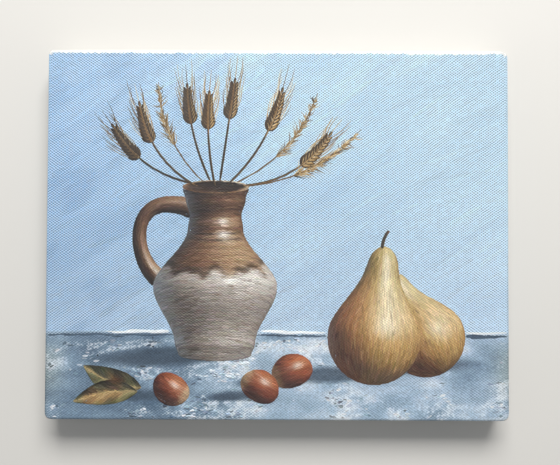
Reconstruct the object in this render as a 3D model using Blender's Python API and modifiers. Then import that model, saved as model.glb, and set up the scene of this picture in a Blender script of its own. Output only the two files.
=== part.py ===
"""Small stretched canvas of 10 by 8 inches, lying face up.

Four pine stretcher bars meet in mitred bridle joints, with a pair of wedge keys in each inner corner.
Primed cotton is wrapped over the bars, folded at the corners and stapled on the back.
+X runs along the picture's lower edge, +Y up the picture and +Z out of its face.
The origin is the middle of the back, and the corner folds rest on Z = 0.
"""

import math

import bmesh
import bpy
from mathutils import Matrix, Vector

INCH = 0.0254
WIDTH = 10 * INCH
HEIGHT = 8 * INCH
DEPTH = 0.75 * INCH

GAP = 0.0003
CLOTH = 0.0006
CLOTH_ROUND = 0.0016
FLAP = 0.016
FOLD = 0.0012
FOLD_SPREAD = 0.024
SIDE_FOLD = 0.0006
SIDE_FOLD_SPREAD = 0.015

BAR_WIDTH = 0.036
BAR_EDGE = 0.001
LIP = 0.0032
LIP_STEP = 0.0012
BAR_INNER_DROP = 0.004
TONGUE = 0.0054
TONGUE_SHORT = 0.0005
CORNER_TRIM = 0.0014

KEY = 0.0032
KEY_GRIP = 0.026
KEY_OUT = 0.008
KEY_TIP = 0.003
KEY_BUTT = 0.012

STAPLE_CROWN = 0.010
STAPLE_LEG = 0.0065
STAPLE_WIRE = 0.0006
STAPLE_BREADTH = 0.0012
STAPLE_INSET = 0.009
STAPLES_ALONG = 5
STAPLES_UP = 3
STAPLE_PITCH_ALONG = 0.042
STAPLE_PITCH_UP = 0.048

FRAME_X = WIDTH / 2 - CLOTH - GAP
FRAME_Y = HEIGHT / 2 - CLOTH - GAP
BAR_BACK = FOLD + CLOTH + GAP
BAR_FRONT = DEPTH - CLOTH - GAP
BAR_MIDDLE = (BAR_BACK + BAR_FRONT) / 2
MITRE_SHIFT = GAP * math.sqrt(0.5)
REACH = 0.005
CORNERS = [(-1, 1), (1, 1), (1, -1), (-1, -1)]


def clear_scene():
    for old in list(bpy.data.objects):
        bpy.data.objects.remove(old, do_unlink=True)


def new_collection(name):
    collection = bpy.data.collections.new(name)
    bpy.context.scene.collection.children.link(collection)
    return collection


def principled(name, colour, roughness, metallic=0.0):
    material = bpy.data.materials.new(name)
    material.use_nodes = True
    shader = material.node_tree.nodes["Principled BSDF"]
    shader.inputs["Base Color"].default_value = (*colour, 1)
    shader.inputs["Roughness"].default_value = roughness
    shader.inputs["Metallic"].default_value = metallic
    material.diffuse_color = (*colour, 1)
    return material


def outline_mesh(name, outline, thickness, place):
    """A flat outline extruded by half its thickness each way, welded into one closed mesh at its place."""
    curve = bpy.data.curves.new(name, "CURVE")
    curve.dimensions = "2D"
    curve.fill_mode = "BOTH"
    curve.extrude = thickness / 2
    spline = curve.splines.new("POLY")
    spline.points.add(len(outline) - 1)
    for point, (x, y) in zip(spline.points, outline):
        point.co = (x, y, 0, 1)
    spline.use_cyclic_u = True
    guide = bpy.data.objects.new(name, curve)
    bpy.context.scene.collection.objects.link(guide)
    graph = bpy.context.evaluated_depsgraph_get()
    mesh = bpy.data.meshes.new_from_object(guide.evaluated_get(graph))
    bpy.data.objects.remove(guide)
    mesh.transform(place)
    work = bmesh.new()
    work.from_mesh(mesh)
    bmesh.ops.remove_doubles(work, verts=work.verts, dist=1e-6)
    bmesh.ops.recalc_face_normals(work, faces=work.faces)
    work.to_mesh(mesh)
    work.free()
    mesh.shade_flat()
    mesh.name = name
    return mesh


def joined_mesh(name, meshes):
    work = bmesh.new()
    for mesh in meshes:
        work.from_mesh(mesh)
    joined = bpy.data.meshes.new(name)
    work.to_mesh(joined)
    work.free()
    return joined


def standing(low, high):
    """Places an outline drawn in plan so that it fills the heights from low to high."""
    return Matrix.Translation((0, 0, (low + high) / 2))


def plan_mesh(name, outline, low, high):
    return outline_mesh(name, outline, high - low, standing(low, high))


def new_object(name, mesh, collection, material=None, parent=None):
    made = bpy.data.objects.new(name, mesh)
    collection.objects.link(made)
    if material:
        mesh.materials.append(material)
    made.parent = parent
    return made


def new_cutter(name, mesh, collection):
    cutter = new_object(name, mesh, collection)
    cutter.hide_render = True
    cutter.display_type = "WIRE"
    return cutter


def boolean(target, other, operation):
    modifier = target.modifiers.new(other.name, "BOOLEAN")
    modifier.operation = operation
    modifier.object = other
    modifier.solver = "EXACT"


def at_corner(outline, corner):
    """An outline given inward from the frame's outer corner, in plan."""
    side_x, side_y = corner
    return [(side_x * (FRAME_X - u), side_y * (FRAME_Y - v)) for u, v in outline]


def swapped(outline):
    return [(v, u) for u, v in outline]


def beside_mitre():
    """What a rail loses at its end: all that lies beyond the 45-degree line, in corner coordinates."""
    return [
        (-2 * REACH, -REACH),
        (-REACH + MITRE_SHIFT, -REACH),
        (BAR_WIDTH + REACH + MITRE_SHIFT, BAR_WIDTH + REACH),
        (-2 * REACH, BAR_WIDTH + REACH),
    ]


def corner_tip():
    return [(-REACH, -REACH), (CORNER_TRIM + REACH, -REACH), (-REACH, CORNER_TRIM + REACH)]


def key_height(along):
    """Height of a key at a place along it, from its tip."""
    return KEY_TIP + along * (KEY_BUTT - KEY_TIP) / (KEY_GRIP + KEY_OUT)


def key_outline():
    """The key that enters a stile, in corner coordinates, with its corner cut back to the mitre line."""
    tip = BAR_WIDTH - KEY_GRIP
    butt = BAR_WIDTH + KEY_OUT
    base = BAR_WIDTH + GAP
    return [
        (tip, base),
        (base - MITRE_SHIFT, base),
        (butt, butt + MITRE_SHIFT),
        (butt, base + KEY_BUTT),
        (tip, base + KEY_TIP),
    ]


def key_slot_outline():
    tip = BAR_WIDTH - KEY_GRIP - GAP
    mouth = BAR_WIDTH + REACH
    base = BAR_WIDTH + GAP
    return [
        (tip, BAR_WIDTH),
        (mouth, BAR_WIDTH),
        (mouth, base + key_height(mouth - tip - GAP) + GAP),
        (tip, base + key_height(-GAP) + GAP),
    ]


def bar_section():
    """A bar's section: distance inward from its outer side, and height above its back."""
    thickness = BAR_FRONT - BAR_BACK
    return [
        (0, BAR_EDGE),
        (BAR_EDGE, 0),
        (BAR_WIDTH, 0),
        (BAR_WIDTH, thickness - BAR_INNER_DROP),
        (LIP + LIP_STEP, thickness - LIP_STEP),
        (LIP, thickness),
        (BAR_EDGE, thickness),
        (0, thickness - BAR_EDGE),
    ]


def bar_mesh(name, half_length, outer, turn):
    """The section run along X at the lower side of the frame, then turned to its own side."""
    along_x = Matrix(((0, 0, 1, 0), (1, 0, 0, -outer), (0, 1, 0, BAR_BACK), (0, 0, 0, 1)))
    return outline_mesh(name, bar_section(), 2 * half_length, Matrix.Rotation(turn, 4, "Z") @ along_x)


def rail_cutters(corner, collection):
    """Cuts at one end of a rail that leave its tongue, the mitres over and under it, and a key slot."""
    tag = f"{corner[0]}_{corner[1]}"
    low, high = BAR_BACK - REACH, BAR_FRONT + REACH
    tongue_low, tongue_high = BAR_MIDDLE - TONGUE / 2, BAR_MIDDLE + TONGUE / 2
    key_low, key_high = BAR_MIDDLE - KEY / 2 - GAP, BAR_MIDDLE + KEY / 2 + GAP
    far = BAR_WIDTH + REACH
    end = [(-REACH, -REACH), (TONGUE_SHORT, -REACH), (TONGUE_SHORT, far), (-REACH, far)]
    cuts = {
        "front_mitre": (beside_mitre(), tongue_high, high),
        "back_mitre": (beside_mitre(), low, tongue_low),
        "tongue_end": (end, low, high),
        "rail_tip": (corner_tip(), low, high),
        "rail_key_slot": (swapped(key_slot_outline()), key_low, key_high),
    }
    return make_cutters(cuts, corner, tag, collection)


def stile_cutters(corner, collection):
    """Cuts at one end of a stile that leave its mitre, the slot for the tongue, and a key slot."""
    tag = f"{corner[0]}_{corner[1]}"
    low, high = BAR_BACK - REACH, BAR_FRONT + REACH
    slot_low, slot_high = BAR_MIDDLE - TONGUE / 2 - GAP, BAR_MIDDLE + TONGUE / 2 + GAP
    key_low, key_high = BAR_MIDDLE - KEY / 2 - GAP, BAR_MIDDLE + KEY / 2 + GAP
    far = BAR_WIDTH + GAP
    slot = [(-REACH, -REACH), (BAR_WIDTH + REACH, -REACH), (BAR_WIDTH + REACH, far), (-REACH, far)]
    cuts = {
        "stile_mitre": (swapped(beside_mitre()), low, high),
        "tongue_slot": (slot, slot_low, slot_high),
        "stile_tip": (corner_tip(), low, high),
        "stile_key_slot": (key_slot_outline(), key_low, key_high),
    }
    return make_cutters(cuts, corner, tag, collection)


def make_cutters(cuts, corner, tag, collection):
    made = []
    for name, (outline, low, high) in cuts.items():
        mesh = plan_mesh(f"{name}_{tag}", at_corner(outline, corner), low, high)
        made.append(new_cutter(mesh.name, mesh, collection))
    return made


def staple_outline():
    """A staple seen from its side: the crown below and two legs up, with chisel points."""
    half = STAPLE_CROWN / 2
    top = STAPLE_WIRE + STAPLE_LEG
    bend = [
        (STAPLE_WIRE * (1 - math.cos(turn)), STAPLE_WIRE * (1 - math.sin(turn)))
        for turn in (0, math.pi / 6, math.pi / 3, math.pi / 2)
    ]
    left = [(-half + x, y) for x, y in bend]
    right = [(half - x, y) for x, y in reversed(bend)]
    legs_right = [(half, top - STAPLE_WIRE), (half - STAPLE_WIRE, top), (half - STAPLE_WIRE, STAPLE_WIRE)]
    legs_left = [(-half + STAPLE_WIRE, STAPLE_WIRE), (-half + STAPLE_WIRE, top), (-half, top - STAPLE_WIRE)]
    return left + right + legs_right + legs_left


def staple_places():
    """Name, bar, middle and turn of each staple: crowns along the bars, a little in from the back's edge."""
    places = []
    for side, bar in ((1, "top"), (-1, "bottom")):
        for number in range(STAPLES_ALONG):
            x = (number - (STAPLES_ALONG - 1) / 2) * STAPLE_PITCH_ALONG
            spot = Vector((x, side * (HEIGHT / 2 - STAPLE_INSET), 0))
            places.append((f"staple_{bar}_{number + 1}", bar, spot, 0))
    for side, bar in ((-1, "left"), (1, "right")):
        for number in range(STAPLES_UP):
            y = (number - (STAPLES_UP - 1) / 2) * STAPLE_PITCH_UP
            spot = Vector((side * (WIDTH / 2 - STAPLE_INSET), y, 0))
            places.append((f"staple_{bar}_{number + 1}", bar, spot, math.pi / 2))
    return places


def upright(spot, turn):
    """Stands an outline on its lower edge at a spot, its width along X or, turned, along Y."""
    return Matrix.Translation(spot) @ Matrix.Rotation(turn, 4, "Z") @ Matrix.Rotation(math.pi / 2, 4, "X")


def make_staples(collection, material, parent):
    crown_low = FOLD - GAP - STAPLE_WIRE
    for name, _, spot, turn in staple_places():
        place = upright(spot + Vector((0, 0, crown_low)), turn)
        mesh = outline_mesh(name, staple_outline(), STAPLE_BREADTH, place)
        new_object(name, mesh, collection, material, parent)


def leg_hole_meshes(bar):
    """Square holes for the legs of the staples in one bar, a gap wider than the legs all round."""
    meshes = []
    half = STAPLE_CROWN / 2
    low, high = -GAP, FOLD - GAP + STAPLE_LEG + GAP
    for name, owner, spot, turn in staple_places():
        if owner != bar:
            continue
        for side in (-1, 1):
            middle = side * (half - STAPLE_WIRE / 2)
            reach = STAPLE_WIRE / 2 + GAP
            near, far = middle - reach, middle + reach
            outline = [(near, low), (far, low), (far, high), (near, high)]
            hole = outline_mesh(f"{name}_hole", outline, STAPLE_BREADTH + 2 * GAP, upright(spot, turn))
            meshes.append(hole)
    return meshes


def make_bars(parts, cutters, material, parent):
    """Four bars: the rails at top and bottom carry tongues, and the stiles at the sides take them."""
    sides = {
        "bottom": (FRAME_X, FRAME_Y, 0, [(-1, -1), (1, -1)], rail_cutters),
        "top": (FRAME_X, FRAME_Y, math.pi, [(-1, 1), (1, 1)], rail_cutters),
        "right": (FRAME_Y, FRAME_X, math.pi / 2, [(1, -1), (1, 1)], stile_cutters),
        "left": (FRAME_Y, FRAME_X, -math.pi / 2, [(-1, -1), (-1, 1)], stile_cutters),
    }
    hole_cutters = []
    for side, (half_length, outer, turn, corners, end_cutters) in sides.items():
        name = f"bar_{side}"
        bar = new_object(name, bar_mesh(name, half_length, outer, turn), parts, material, parent)
        for corner in corners:
            for cutter in end_cutters(corner, cutters):
                boolean(bar, cutter, "DIFFERENCE")
        hole_mesh = joined_mesh(f"leg_holes_{side}", leg_hole_meshes(side))
        holes = new_cutter(hole_mesh.name, hole_mesh, cutters)
        boolean(bar, holes, "DIFFERENCE")
        hole_cutters.append(holes)
    return hole_cutters


def make_keys(collection, material, parent):
    """Two wedge keys in each inner corner, one driven into the stile and one into the rail."""
    names = {(-1, 1): "top_left", (1, 1): "top_right", (1, -1): "bottom_right", (-1, -1): "bottom_left"}
    low, high = BAR_MIDDLE - KEY / 2, BAR_MIDDLE + KEY / 2
    for corner in CORNERS:
        for way, outline in (("side", key_outline()), ("end", swapped(key_outline()))):
            name = f"key_{names[corner]}_{way}"
            mesh = plan_mesh(name, at_corner(outline, corner), low, high)
            new_object(name, mesh, collection, material, parent)


def cloth_mesh():
    """The outer surface of the cloth: face, four sides and a ring of flaps on the back."""
    mesh = bpy.data.meshes.new("canvas")
    work = bmesh.new()
    size = Matrix.Diagonal((WIDTH, HEIGHT, DEPTH - FOLD, 1))
    bmesh.ops.create_cube(work, size=1, matrix=standing(FOLD, DEPTH) @ size)
    back = min(work.faces, key=lambda face: face.calc_center_median().z)
    bmesh.ops.inset_region(work, faces=[back], thickness=FLAP)
    bmesh.ops.delete(work, geom=[back], context="FACES")
    work.to_mesh(mesh)
    work.free()
    return mesh


def back_fold_mesh(corner):
    """The doubled cloth on the back of a corner, which the canvas rests on."""
    side_x, side_y = corner
    edge = 2 * CLOTH_ROUND
    outline = [(edge, edge), (FOLD_SPREAD, edge), (FOLD_SPREAD, FLAP - edge), (FLAP - edge, FLAP - edge)]
    if side_x == side_y:
        outline = swapped(outline)
    plan = [(side_x * (WIDTH / 2 - u), side_y * (HEIGHT / 2 - v)) for u, v in outline]
    return plan_mesh(f"back_fold_{side_x}_{side_y}", plan, 0, FOLD + CLOTH / 2)


def side_fold_mesh(corner):
    """The pleat that lies flat on one side next to a corner, a triangle that widens towards the back."""
    side_x, side_y = corner
    start = CLOTH_ROUND + GAP
    low, high = FOLD + start, DEPTH - start
    thickness = SIDE_FOLD + CLOTH / 2
    turned = side_x == side_y
    half_along, half_across = (HEIGHT / 2, WIDTH / 2) if turned else (WIDTH / 2, HEIGHT / 2)
    along_sign, across_sign = (side_y, side_x) if turned else (side_x, side_y)
    outline = [
        (along_sign * (half_along - u), z)
        for u, z in ((start, low), (SIDE_FOLD_SPREAD, low), (start + CLOTH, high), (start, high))
    ]
    across = across_sign * (half_across - CLOTH / 2 + thickness / 2)
    spot = Vector((across, 0, 0)) if turned else Vector((0, across, 0))
    place = upright(spot, math.pi / 2 if turned else 0)
    return outline_mesh(f"side_fold_{side_x}_{side_y}", outline, thickness, place)


def make_canvas(parts, cutters, hole_cutters, material, parent):
    """One cloth shell, rounded over the bars, with its folds joined on and the staples' holes cut."""
    canvas = new_object("canvas", cloth_mesh(), parts, material, parent)
    rounding = canvas.modifiers.new("rounding", "BEVEL")
    rounding.width = CLOTH_ROUND
    rounding.segments = 3
    rounding.limit_method = "ANGLE"
    rounding.angle_limit = math.radians(60)
    wall = canvas.modifiers.new("wall", "SOLIDIFY")
    wall.thickness = CLOTH
    wall.offset = -1
    wall.use_even_offset = True
    for corner in CORNERS:
        for mesh in (back_fold_mesh(corner), side_fold_mesh(corner)):
            boolean(canvas, new_cutter(mesh.name, mesh, cutters), "UNION")
    for holes in hole_cutters:
        boolean(canvas, holes, "DIFFERENCE")


def main():
    clear_scene()
    parts = new_collection("stretched_canvas")
    cutters = new_collection("stretched_canvas_cutters")
    whole = bpy.data.objects.new("stretched_canvas", None)
    parts.objects.link(whole)
    pine = principled("pine", (0.74, 0.55, 0.34), 0.6)
    cotton = principled("primed_cotton", (0.47, 0.62, 0.74), 0.6)
    steel = principled("galvanised_steel", (0.62, 0.62, 0.60), 0.35, 1.0)
    hole_cutters = make_bars(parts, cutters, pine, whole)
    make_keys(parts, pine, whole)
    make_staples(parts, steel, whole)
    make_canvas(parts, cutters, hole_cutters, cotton, whole)


main()
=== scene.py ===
"""Looks of a small stretched canvas painting: cloth, paint, bars, keys and staples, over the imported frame.

The painting is a still life of a stoneware jug with dried wheat, pears and chestnuts on a grey ledge.
Picture places are in millimetres from the middle of the face, X to the right and Y up.
"""

import functools
import math
from types import SimpleNamespace

import bpy
import numpy as np
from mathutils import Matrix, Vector


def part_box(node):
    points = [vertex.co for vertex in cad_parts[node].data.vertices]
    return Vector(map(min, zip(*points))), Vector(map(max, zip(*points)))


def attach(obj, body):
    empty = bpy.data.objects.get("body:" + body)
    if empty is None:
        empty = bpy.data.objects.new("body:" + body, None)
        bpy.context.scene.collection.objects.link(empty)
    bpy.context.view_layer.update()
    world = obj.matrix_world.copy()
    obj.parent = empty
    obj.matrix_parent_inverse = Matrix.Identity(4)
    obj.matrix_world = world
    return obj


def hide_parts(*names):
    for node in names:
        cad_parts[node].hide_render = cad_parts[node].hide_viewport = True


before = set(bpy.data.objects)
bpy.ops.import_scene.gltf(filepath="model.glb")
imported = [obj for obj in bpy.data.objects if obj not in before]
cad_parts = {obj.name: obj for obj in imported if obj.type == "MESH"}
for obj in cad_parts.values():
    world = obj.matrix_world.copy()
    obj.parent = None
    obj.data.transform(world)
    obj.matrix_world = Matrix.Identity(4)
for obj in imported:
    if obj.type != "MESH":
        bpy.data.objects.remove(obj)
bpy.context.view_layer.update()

bl_info = {
    "name": "Stretched canvas painting",
    "version": (1, 0, 0),
    "blender": (4, 5, 0),
    "location": "View3D > Sidebar > Canvas",
    "description": "Finishes a small stretched canvas: cloth, oil paint, stretcher bars, keys and staples",
    "category": "Object",
}

MM = 0.001
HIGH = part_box("canvas")[1]
CORNERS = {"top_left": (-1, 1), "top_right": (1, 1), "bottom_right": (1, -1), "bottom_left": (-1, -1)}


def srgb(*codes):
    """sRGB hex colours as rows of fractions, or as one row."""
    rows = np.array([[int(code[i : i + 2], 16) / 255 for i in (0, 2, 4)] for code in codes])
    return rows if len(codes) > 1 else rows[0]


def linear(colour):
    """An sRGB hex colour, or an array of sRGB fractions, as linear light."""
    value = srgb(colour) if isinstance(colour, str) else np.clip(colour, 0, 1)
    return np.where(value <= 0.04045, value / 12.92, ((value + 0.055) / 1.055) ** 2.4)


# ---------------------------------------------------------------- sizes and colours that a user may change


def length(label, text, millimetres, least=0.0):
    return bpy.props.FloatProperty(
        name=label,
        description=text,
        default=millimetres * MM,
        min=least * MM,
        unit="LENGTH",
        subtype="DISTANCE",
        precision=5,
    )


def turn(label, text, degrees):
    return bpy.props.FloatProperty(
        name=label, description=text, default=math.radians(degrees), unit="ROTATION", subtype="ANGLE"
    )


def colour(label, text, code):
    return bpy.props.FloatVectorProperty(
        name=label, description=text, default=tuple(linear(code)), size=3, min=0, max=1, subtype="COLOR"
    )


class ClothSizes(bpy.types.PropertyGroup):
    side_fold: length("Side fold", "How far a corner pleat stands out from its side", 0.6)
    thickness: length("Thickness", "Primed cotton from face to back", 0.5)
    edge_round: length("Edge round", "Radius where the face turns over the bars", 1.6)
    flap: length("Flap", "Cloth turned in on the back", 16)
    back_fold: length("Back fold", "Height of the folded corners under the flaps", 1.2)
    bead: length("Bead", "Width of the bar's raised lip that carries the face", 3.2)
    sag: length("Sag", "How far the face falls away inside the bead", 0.32)
    cell: length("Cell", "Spacing of the mesh on the face", 1.4)
    warp_pitch: length("Warp pitch", "Spacing of the threads that run up the face", 1.0)
    weft_pitch: length("Weft pitch", "Spacing of the threads that run across the face", 0.72)
    weave_depth: length("Weave depth", "Height of the thread crowns, drawn high so that they show", 0.62)
    painted_side: length("Painted side", "How far the paint runs down three of the sides", 12.5)
    painted_top: length("Painted top", "How far paint runs past the top edge; minus stops short", -0.3, -9)


class CanvasColours(bpy.types.PropertyGroup):
    gesso: colour("Gesso", "White acrylic ground on the cloth", "f6f6f2")
    cotton: colour("Cotton", "Raw cotton duck on the inside", "cfc3a9")
    pine: colour("Pine", "Planed pine between its rings", "dcb883")
    pine_ring: colour("Pine rings", "Late wood of the pine", "b98a55")
    key_wood: colour("Key wood", "Sawn beech of the wedges", "cfa478")
    wire: colour("Wire", "Galvanised steel wire", "a9adb0")


class StageSettings(bpy.types.PropertyGroup):
    camera_x: length("Camera X", "Where the camera hangs across the picture", 2.0)
    camera_down: length("Camera down", "How far below the middle the camera hangs", 6.0)
    camera_height: length("Camera height", "Height of the camera over the floor", 348.3)
    tilt: turn("Tilt", "Camera leaning up the picture", 1.22)
    lean: turn("Lean", "Camera leaning across the picture", 0.094)
    roll: turn("Roll", "Camera turned about its axis", 0.223)
    field: turn("Field of view", "Angle across the frame", 50)
    window_watts: bpy.props.FloatProperty(
        name="Window", description="Power of the soft window light", default=26.5, min=0, unit="POWER"
    )
    world_strength: bpy.props.FloatProperty(
        name="Room", description="Strength of the light from all round", default=0.43, min=0
    )
    floor: colour("Floor", "Plain pale floor", "c3c0ba")


def cloth_sizes():
    return bpy.context.scene.canvas_cloth


def canvas_colours():
    return bpy.context.scene.canvas_colours


# ---------------------------------------------------------------- meshes


def grid_quads(rows, columns, count=1):
    """Corner numbers of the quads of count grids, each of rows by columns points numbered row by row."""
    row, column = np.meshgrid(np.arange(rows - 1), np.arange(columns - 1), indexing="ij")
    first = (row * columns + column).ravel()
    quad = np.stack([first, first + 1, first + columns + 1, first + columns], -1)
    return (quad[None] + (np.arange(count) * rows * columns)[:, None, None]).reshape(-1, 4)


def mesh_object(name, points, quads, *materials):
    """A mesh object at the origin from points in metres and quads of point numbers."""
    mesh = bpy.data.meshes.new(name)
    mesh.vertices.add(len(points))
    mesh.vertices.foreach_set("co", points.astype(np.float32).ravel())
    mesh.loops.add(quads.size)
    mesh.loops.foreach_set("vertex_index", quads.astype(np.int32).ravel())
    mesh.polygons.add(len(quads))
    mesh.polygons.foreach_set("loop_start", np.arange(0, quads.size, 4, dtype=np.int32))
    mesh.update(calc_edges=True)
    for material in materials:
        mesh.materials.append(material)
    piece = bpy.data.objects.new(name, mesh)
    bpy.context.scene.collection.objects.link(piece)
    return piece


def set_uv(piece, name, corners):
    piece.data.uv_layers.new(name=name).uv.foreach_set("vector", corners.astype(np.float32).ravel())


def set_points(piece, name, values):
    """Stores a number, or a linear colour as a row of three, at each point."""
    kind, field = "FLOAT", "value"
    if values.ndim == 2:
        kind, field = "FLOAT_COLOR", "color"
        values = np.column_stack([values, np.ones(len(values))])
    layer = piece.data.attributes.new(name, kind, "POINT")
    layer.data.foreach_set(field, values.astype(np.float32).ravel())


# ---------------------------------------------------------------- noise, for shapes and for the picture


def hashed(column, row, seed):
    value = np.sin(column * 127.1 + row * 311.7 + seed * 74.7) * 43758.5453
    return value - np.floor(value)


def cloud(x, y, seed):
    """Smooth noise from 0 to 1 with a wavelength of about 1."""
    column, row = np.floor(x), np.floor(y)
    along, up = x - column, y - row
    along, up = along * along * (3 - 2 * along), up * up * (3 - 2 * up)
    low = hashed(column, row, seed) * (1 - along) + hashed(column + 1, row, seed) * along
    high = hashed(column, row + 1, seed) * (1 - along) + hashed(column + 1, row + 1, seed) * along
    return low * (1 - up) + high * up


def clouds(x, y, seed, octaves=3):
    """Smooth noise in finer and finer layers, in the pattern that seed picks."""
    shares = [0.5**octave for octave in range(octaves)]
    layers = [cloud(x * 2**i, y * 2**i, seed + 17 * i) * share for i, share in enumerate(shares)]
    return sum(layers) / sum(shares)


def turned(x, y, at, angle):
    """How far each place lies from a point along a direction, and to the left of it."""
    across, up = x - at[0], y - at[1]
    right, rise = math.cos(angle), math.sin(angle)
    return across * right + up * rise, -across * rise + up * right


def streaks(x, y, angle, long, wide, seed):
    """Smooth noise drawn out long and wide along an angle."""
    along, across = turned(x, y, (0, 0), angle)
    return clouds(along / long, across / wide, seed)


def smooth(low, high, value):
    """0 at low and beyond, 1 at high and beyond, and an even curve between."""
    part = np.clip((value - low) / (high - low), 0, 1)
    return part * part * (3 - 2 * part)


def mixed(first, second, share):
    """Colours from first to second as share goes from 0 to 1."""
    share = np.asarray(share)[..., None]
    return first * (1 - share) + second * share


def ramp(value, stops, colours):
    """The colour at each value on a scale with one colour at each stop."""
    return np.stack([np.interp(value, stops, colours[:, i]) for i in range(3)], -1)


# ---------------------------------------------------------------- node materials

MIX = {"data_type": "RGBA"}
SHADE = {"data_type": "RGBA", "blend_type": "MULTIPLY"}
SCALED_SUM = {"operation": "MULTIPLY_ADD"}
OIL_IOR = 1.48


def fill(node, inputs):
    """Sets a node's inputs to values or links, by name or in the order of those in use."""
    live = [socket for socket in node.inputs if socket.enabled]
    for name, value in inputs.items() if isinstance(inputs, dict) else enumerate(inputs):
        socket = live[name] if isinstance(name, int) else node.inputs[name]
        if isinstance(value, bpy.types.NodeSocket):
            node.id_data.links.new(value, socket)
        else:
            socket.default_value = (*value, 1) if socket.type == "RGBA" else value


def add_node(tree, kind, inputs=(), out=None, **settings):
    """Adds a shader node with its settings and inputs, and gives the output named or the first in use."""
    node = tree.nodes.new("ShaderNode" + kind)
    for name, value in settings.items():
        setattr(node, name, value)
    fill(node, inputs)
    return node.outputs[out] if out else next(socket for socket in node.outputs if socket.enabled)


def new_material(name):
    """Starts a material: gives add_node for its tree, and a call that fills its shader and returns it."""
    material = bpy.data.materials.new(name)
    material.use_nodes = True
    tree = material.node_tree

    def finish(look):
        fill(tree.nodes["Principled BSDF"], look)
        return material

    return functools.partial(add_node, tree), finish


def per_metre(millimetres):
    """How often a pattern of that size comes in a metre, to two figures."""
    return float(f"{1000 / millimetres:.2g}")


def two_shades(base, dark):
    """A linear colour darkened by a factor, and itself."""
    return [dark * value for value in base], base


def weave_height(add):
    """Plain weave as two crossing waves in the cloth's own thread coordinates.

    Over and under crowns repeat every second thread, so they line up along both diagonals.
    Of the two, the diagonals that run out towards the nearest corner show more, in patches.
    """
    sizes = cloth_sizes()
    thread = add("UVMap", uv_map="Thread")
    # A diagonal band's wave is pi / 5 long in the texture's own units, and spans two threads.
    one_thread = math.pi / 10
    across_up = add("SeparateXYZ", [thread]).node.outputs[:2]
    quarter = add("Math", across_up, operation="MULTIPLY")
    share = add("MapRange", [quarter, -0.005, 0.005, -0.12, 0.22])
    patch = add("TexNoise", {"Vector": thread, "Scale": per_metre(9.1), "Detail": 1})
    share = add("Clamp", [add("Math", [patch, 0.9, share], **SCALED_SUM), 0.1, 0.9])
    both = 0
    for sign, part in ((1, add("Math", [1, share], operation="SUBTRACT")), (-1, share)):
        scale = (one_thread / sizes.warp_pitch, sign * one_thread / sizes.weft_pitch, 1)
        place = add("Mapping", {"Vector": thread, "Scale": scale})
        inputs = {"Vector": place, "Scale": 1, "Distortion": 2.0, "Detail": 1, "Detail Scale": 0.6}
        wave = add("TexWave", inputs, "Fac", wave_type="BANDS", bands_direction="DIAGONAL")
        level = add("Math", [wave, 0.5], operation="SUBTRACT")
        both = add("Math", [level, add("Math", [part], operation="SQRT"), both], **SCALED_SUM)
    worn = add("TexNoise", {"Vector": thread, "Scale": per_metre(2.5), "Detail": 1})
    strength = add("MapRange", [worn, 0.3, 0.7, 0.65, 1.5])
    return add("Math", [both, strength, 0.5], **SCALED_SUM), thread


@functools.cache
def painted_cloth():
    """Cotton duck primed with white gesso and painted in oil: the weave shows through with a low sheen, in
    painted shade in its hollows and painted highlight on its crowns.
    """
    add, finish = new_material("oil_on_primed_cotton")
    weave, thread = weave_height(add)
    paint = add("Attribute", attribute_name="Paint")
    filled, dragged, margin = (
        add("Attribute", out="Fac", attribute_name=name) for name in ("Filled", "Scumble", "Bare")
    )
    # Bristle marks run up to the right.
    brushing = add("Mapping", {"Vector": thread, "Rotation": (0, 0, -math.radians(32))})
    hairs = add("Mapping", {"Vector": brushing, "Scale": (per_metre(15.4), per_metre(0.53), 1)})
    bristle = add("TexNoise", {"Vector": hairs, "Scale": 1, "Detail": 2})
    broken = add("TexNoise", {"Vector": thread, "Scale": per_metre(1.43), "Detail": 2})
    speckle = add("Math", [broken, 1.1, -0.55], **SCALED_SUM)
    streak = add("Math", [filled, speckle, add("MapRange", [bristle, 0.3, 0.7, 0.955, 1.04])], **SCALED_SUM)
    streaked = add("Mix", [1.0, paint, streak], **SHADE)
    # White dragged dry over the ledge catches on the thread crowns and skips the hollows.
    caught = add("Math", [weave, 0.22, add("Math", [broken, 2.7, dragged], **SCALED_SUM)], **SCALED_SUM)
    dry = add("MapRange", [caught, 1.65, 2.35, 0, 1], interpolation_type="SMOOTHSTEP")
    white = add("Math", [dry, add("MapRange", [dragged, 0, 0.4, 0, 0.65])], operation="MULTIPLY")
    scumbled = add("Mix", [white, streaked, linear("e9f0f4")], **MIX)
    # Painted shade darkens the hollows between the threads and a painted highlight lightens the crowns;
    # thick paint that fills the weave weakens both.
    hollow = add("MapRange", [weave, 0.05, 0.55, add("Math", [filled, 0.44, 0.36], **SCALED_SUM), 1])
    painted_crown_highlight = add("MapRange", [weave, 0.50, 0.95, 0, add("Math", [filled, -0.43, 0.55], **SCALED_SUM)])
    pale = add("MapRange", [add("RGBToBW", [scumbled]), 0.08, 0.36, 0, 1])
    crown = add("Math", [painted_crown_highlight, pale], operation="MULTIPLY")
    shaded = add("Mix", [crown, add("Mix", [1.0, scumbled, hollow], **SHADE), linear("f2faff")], **MIX)
    # Bare gesso shows past the paint's ragged edge.
    ragged = add("TexNoise", {"Vector": thread, "Scale": per_metre(2), "Detail": 3})
    edge = add("Math", [ragged, 1.6 * MM, margin], **SCALED_SUM)
    bare = add("MapRange", [edge, 0.65 * MM, 1.05 * MM, 0, 1])
    threads = add("Bump", {"Height": weave, "Distance": cloth_sizes().weave_depth})
    return finish(
        {
            "Base Color": add("Mix", [bare, shaded, canvas_colours().gesso], **MIX),
            "Roughness": add("MapRange", [bare, 0, 1, 0.46, 0.8]),
            "IOR": OIL_IOR,
            "Normal": add("Bump", {"Height": bristle, "Distance": 0.05 * MM, "Normal": threads}),
        }
    )


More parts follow.
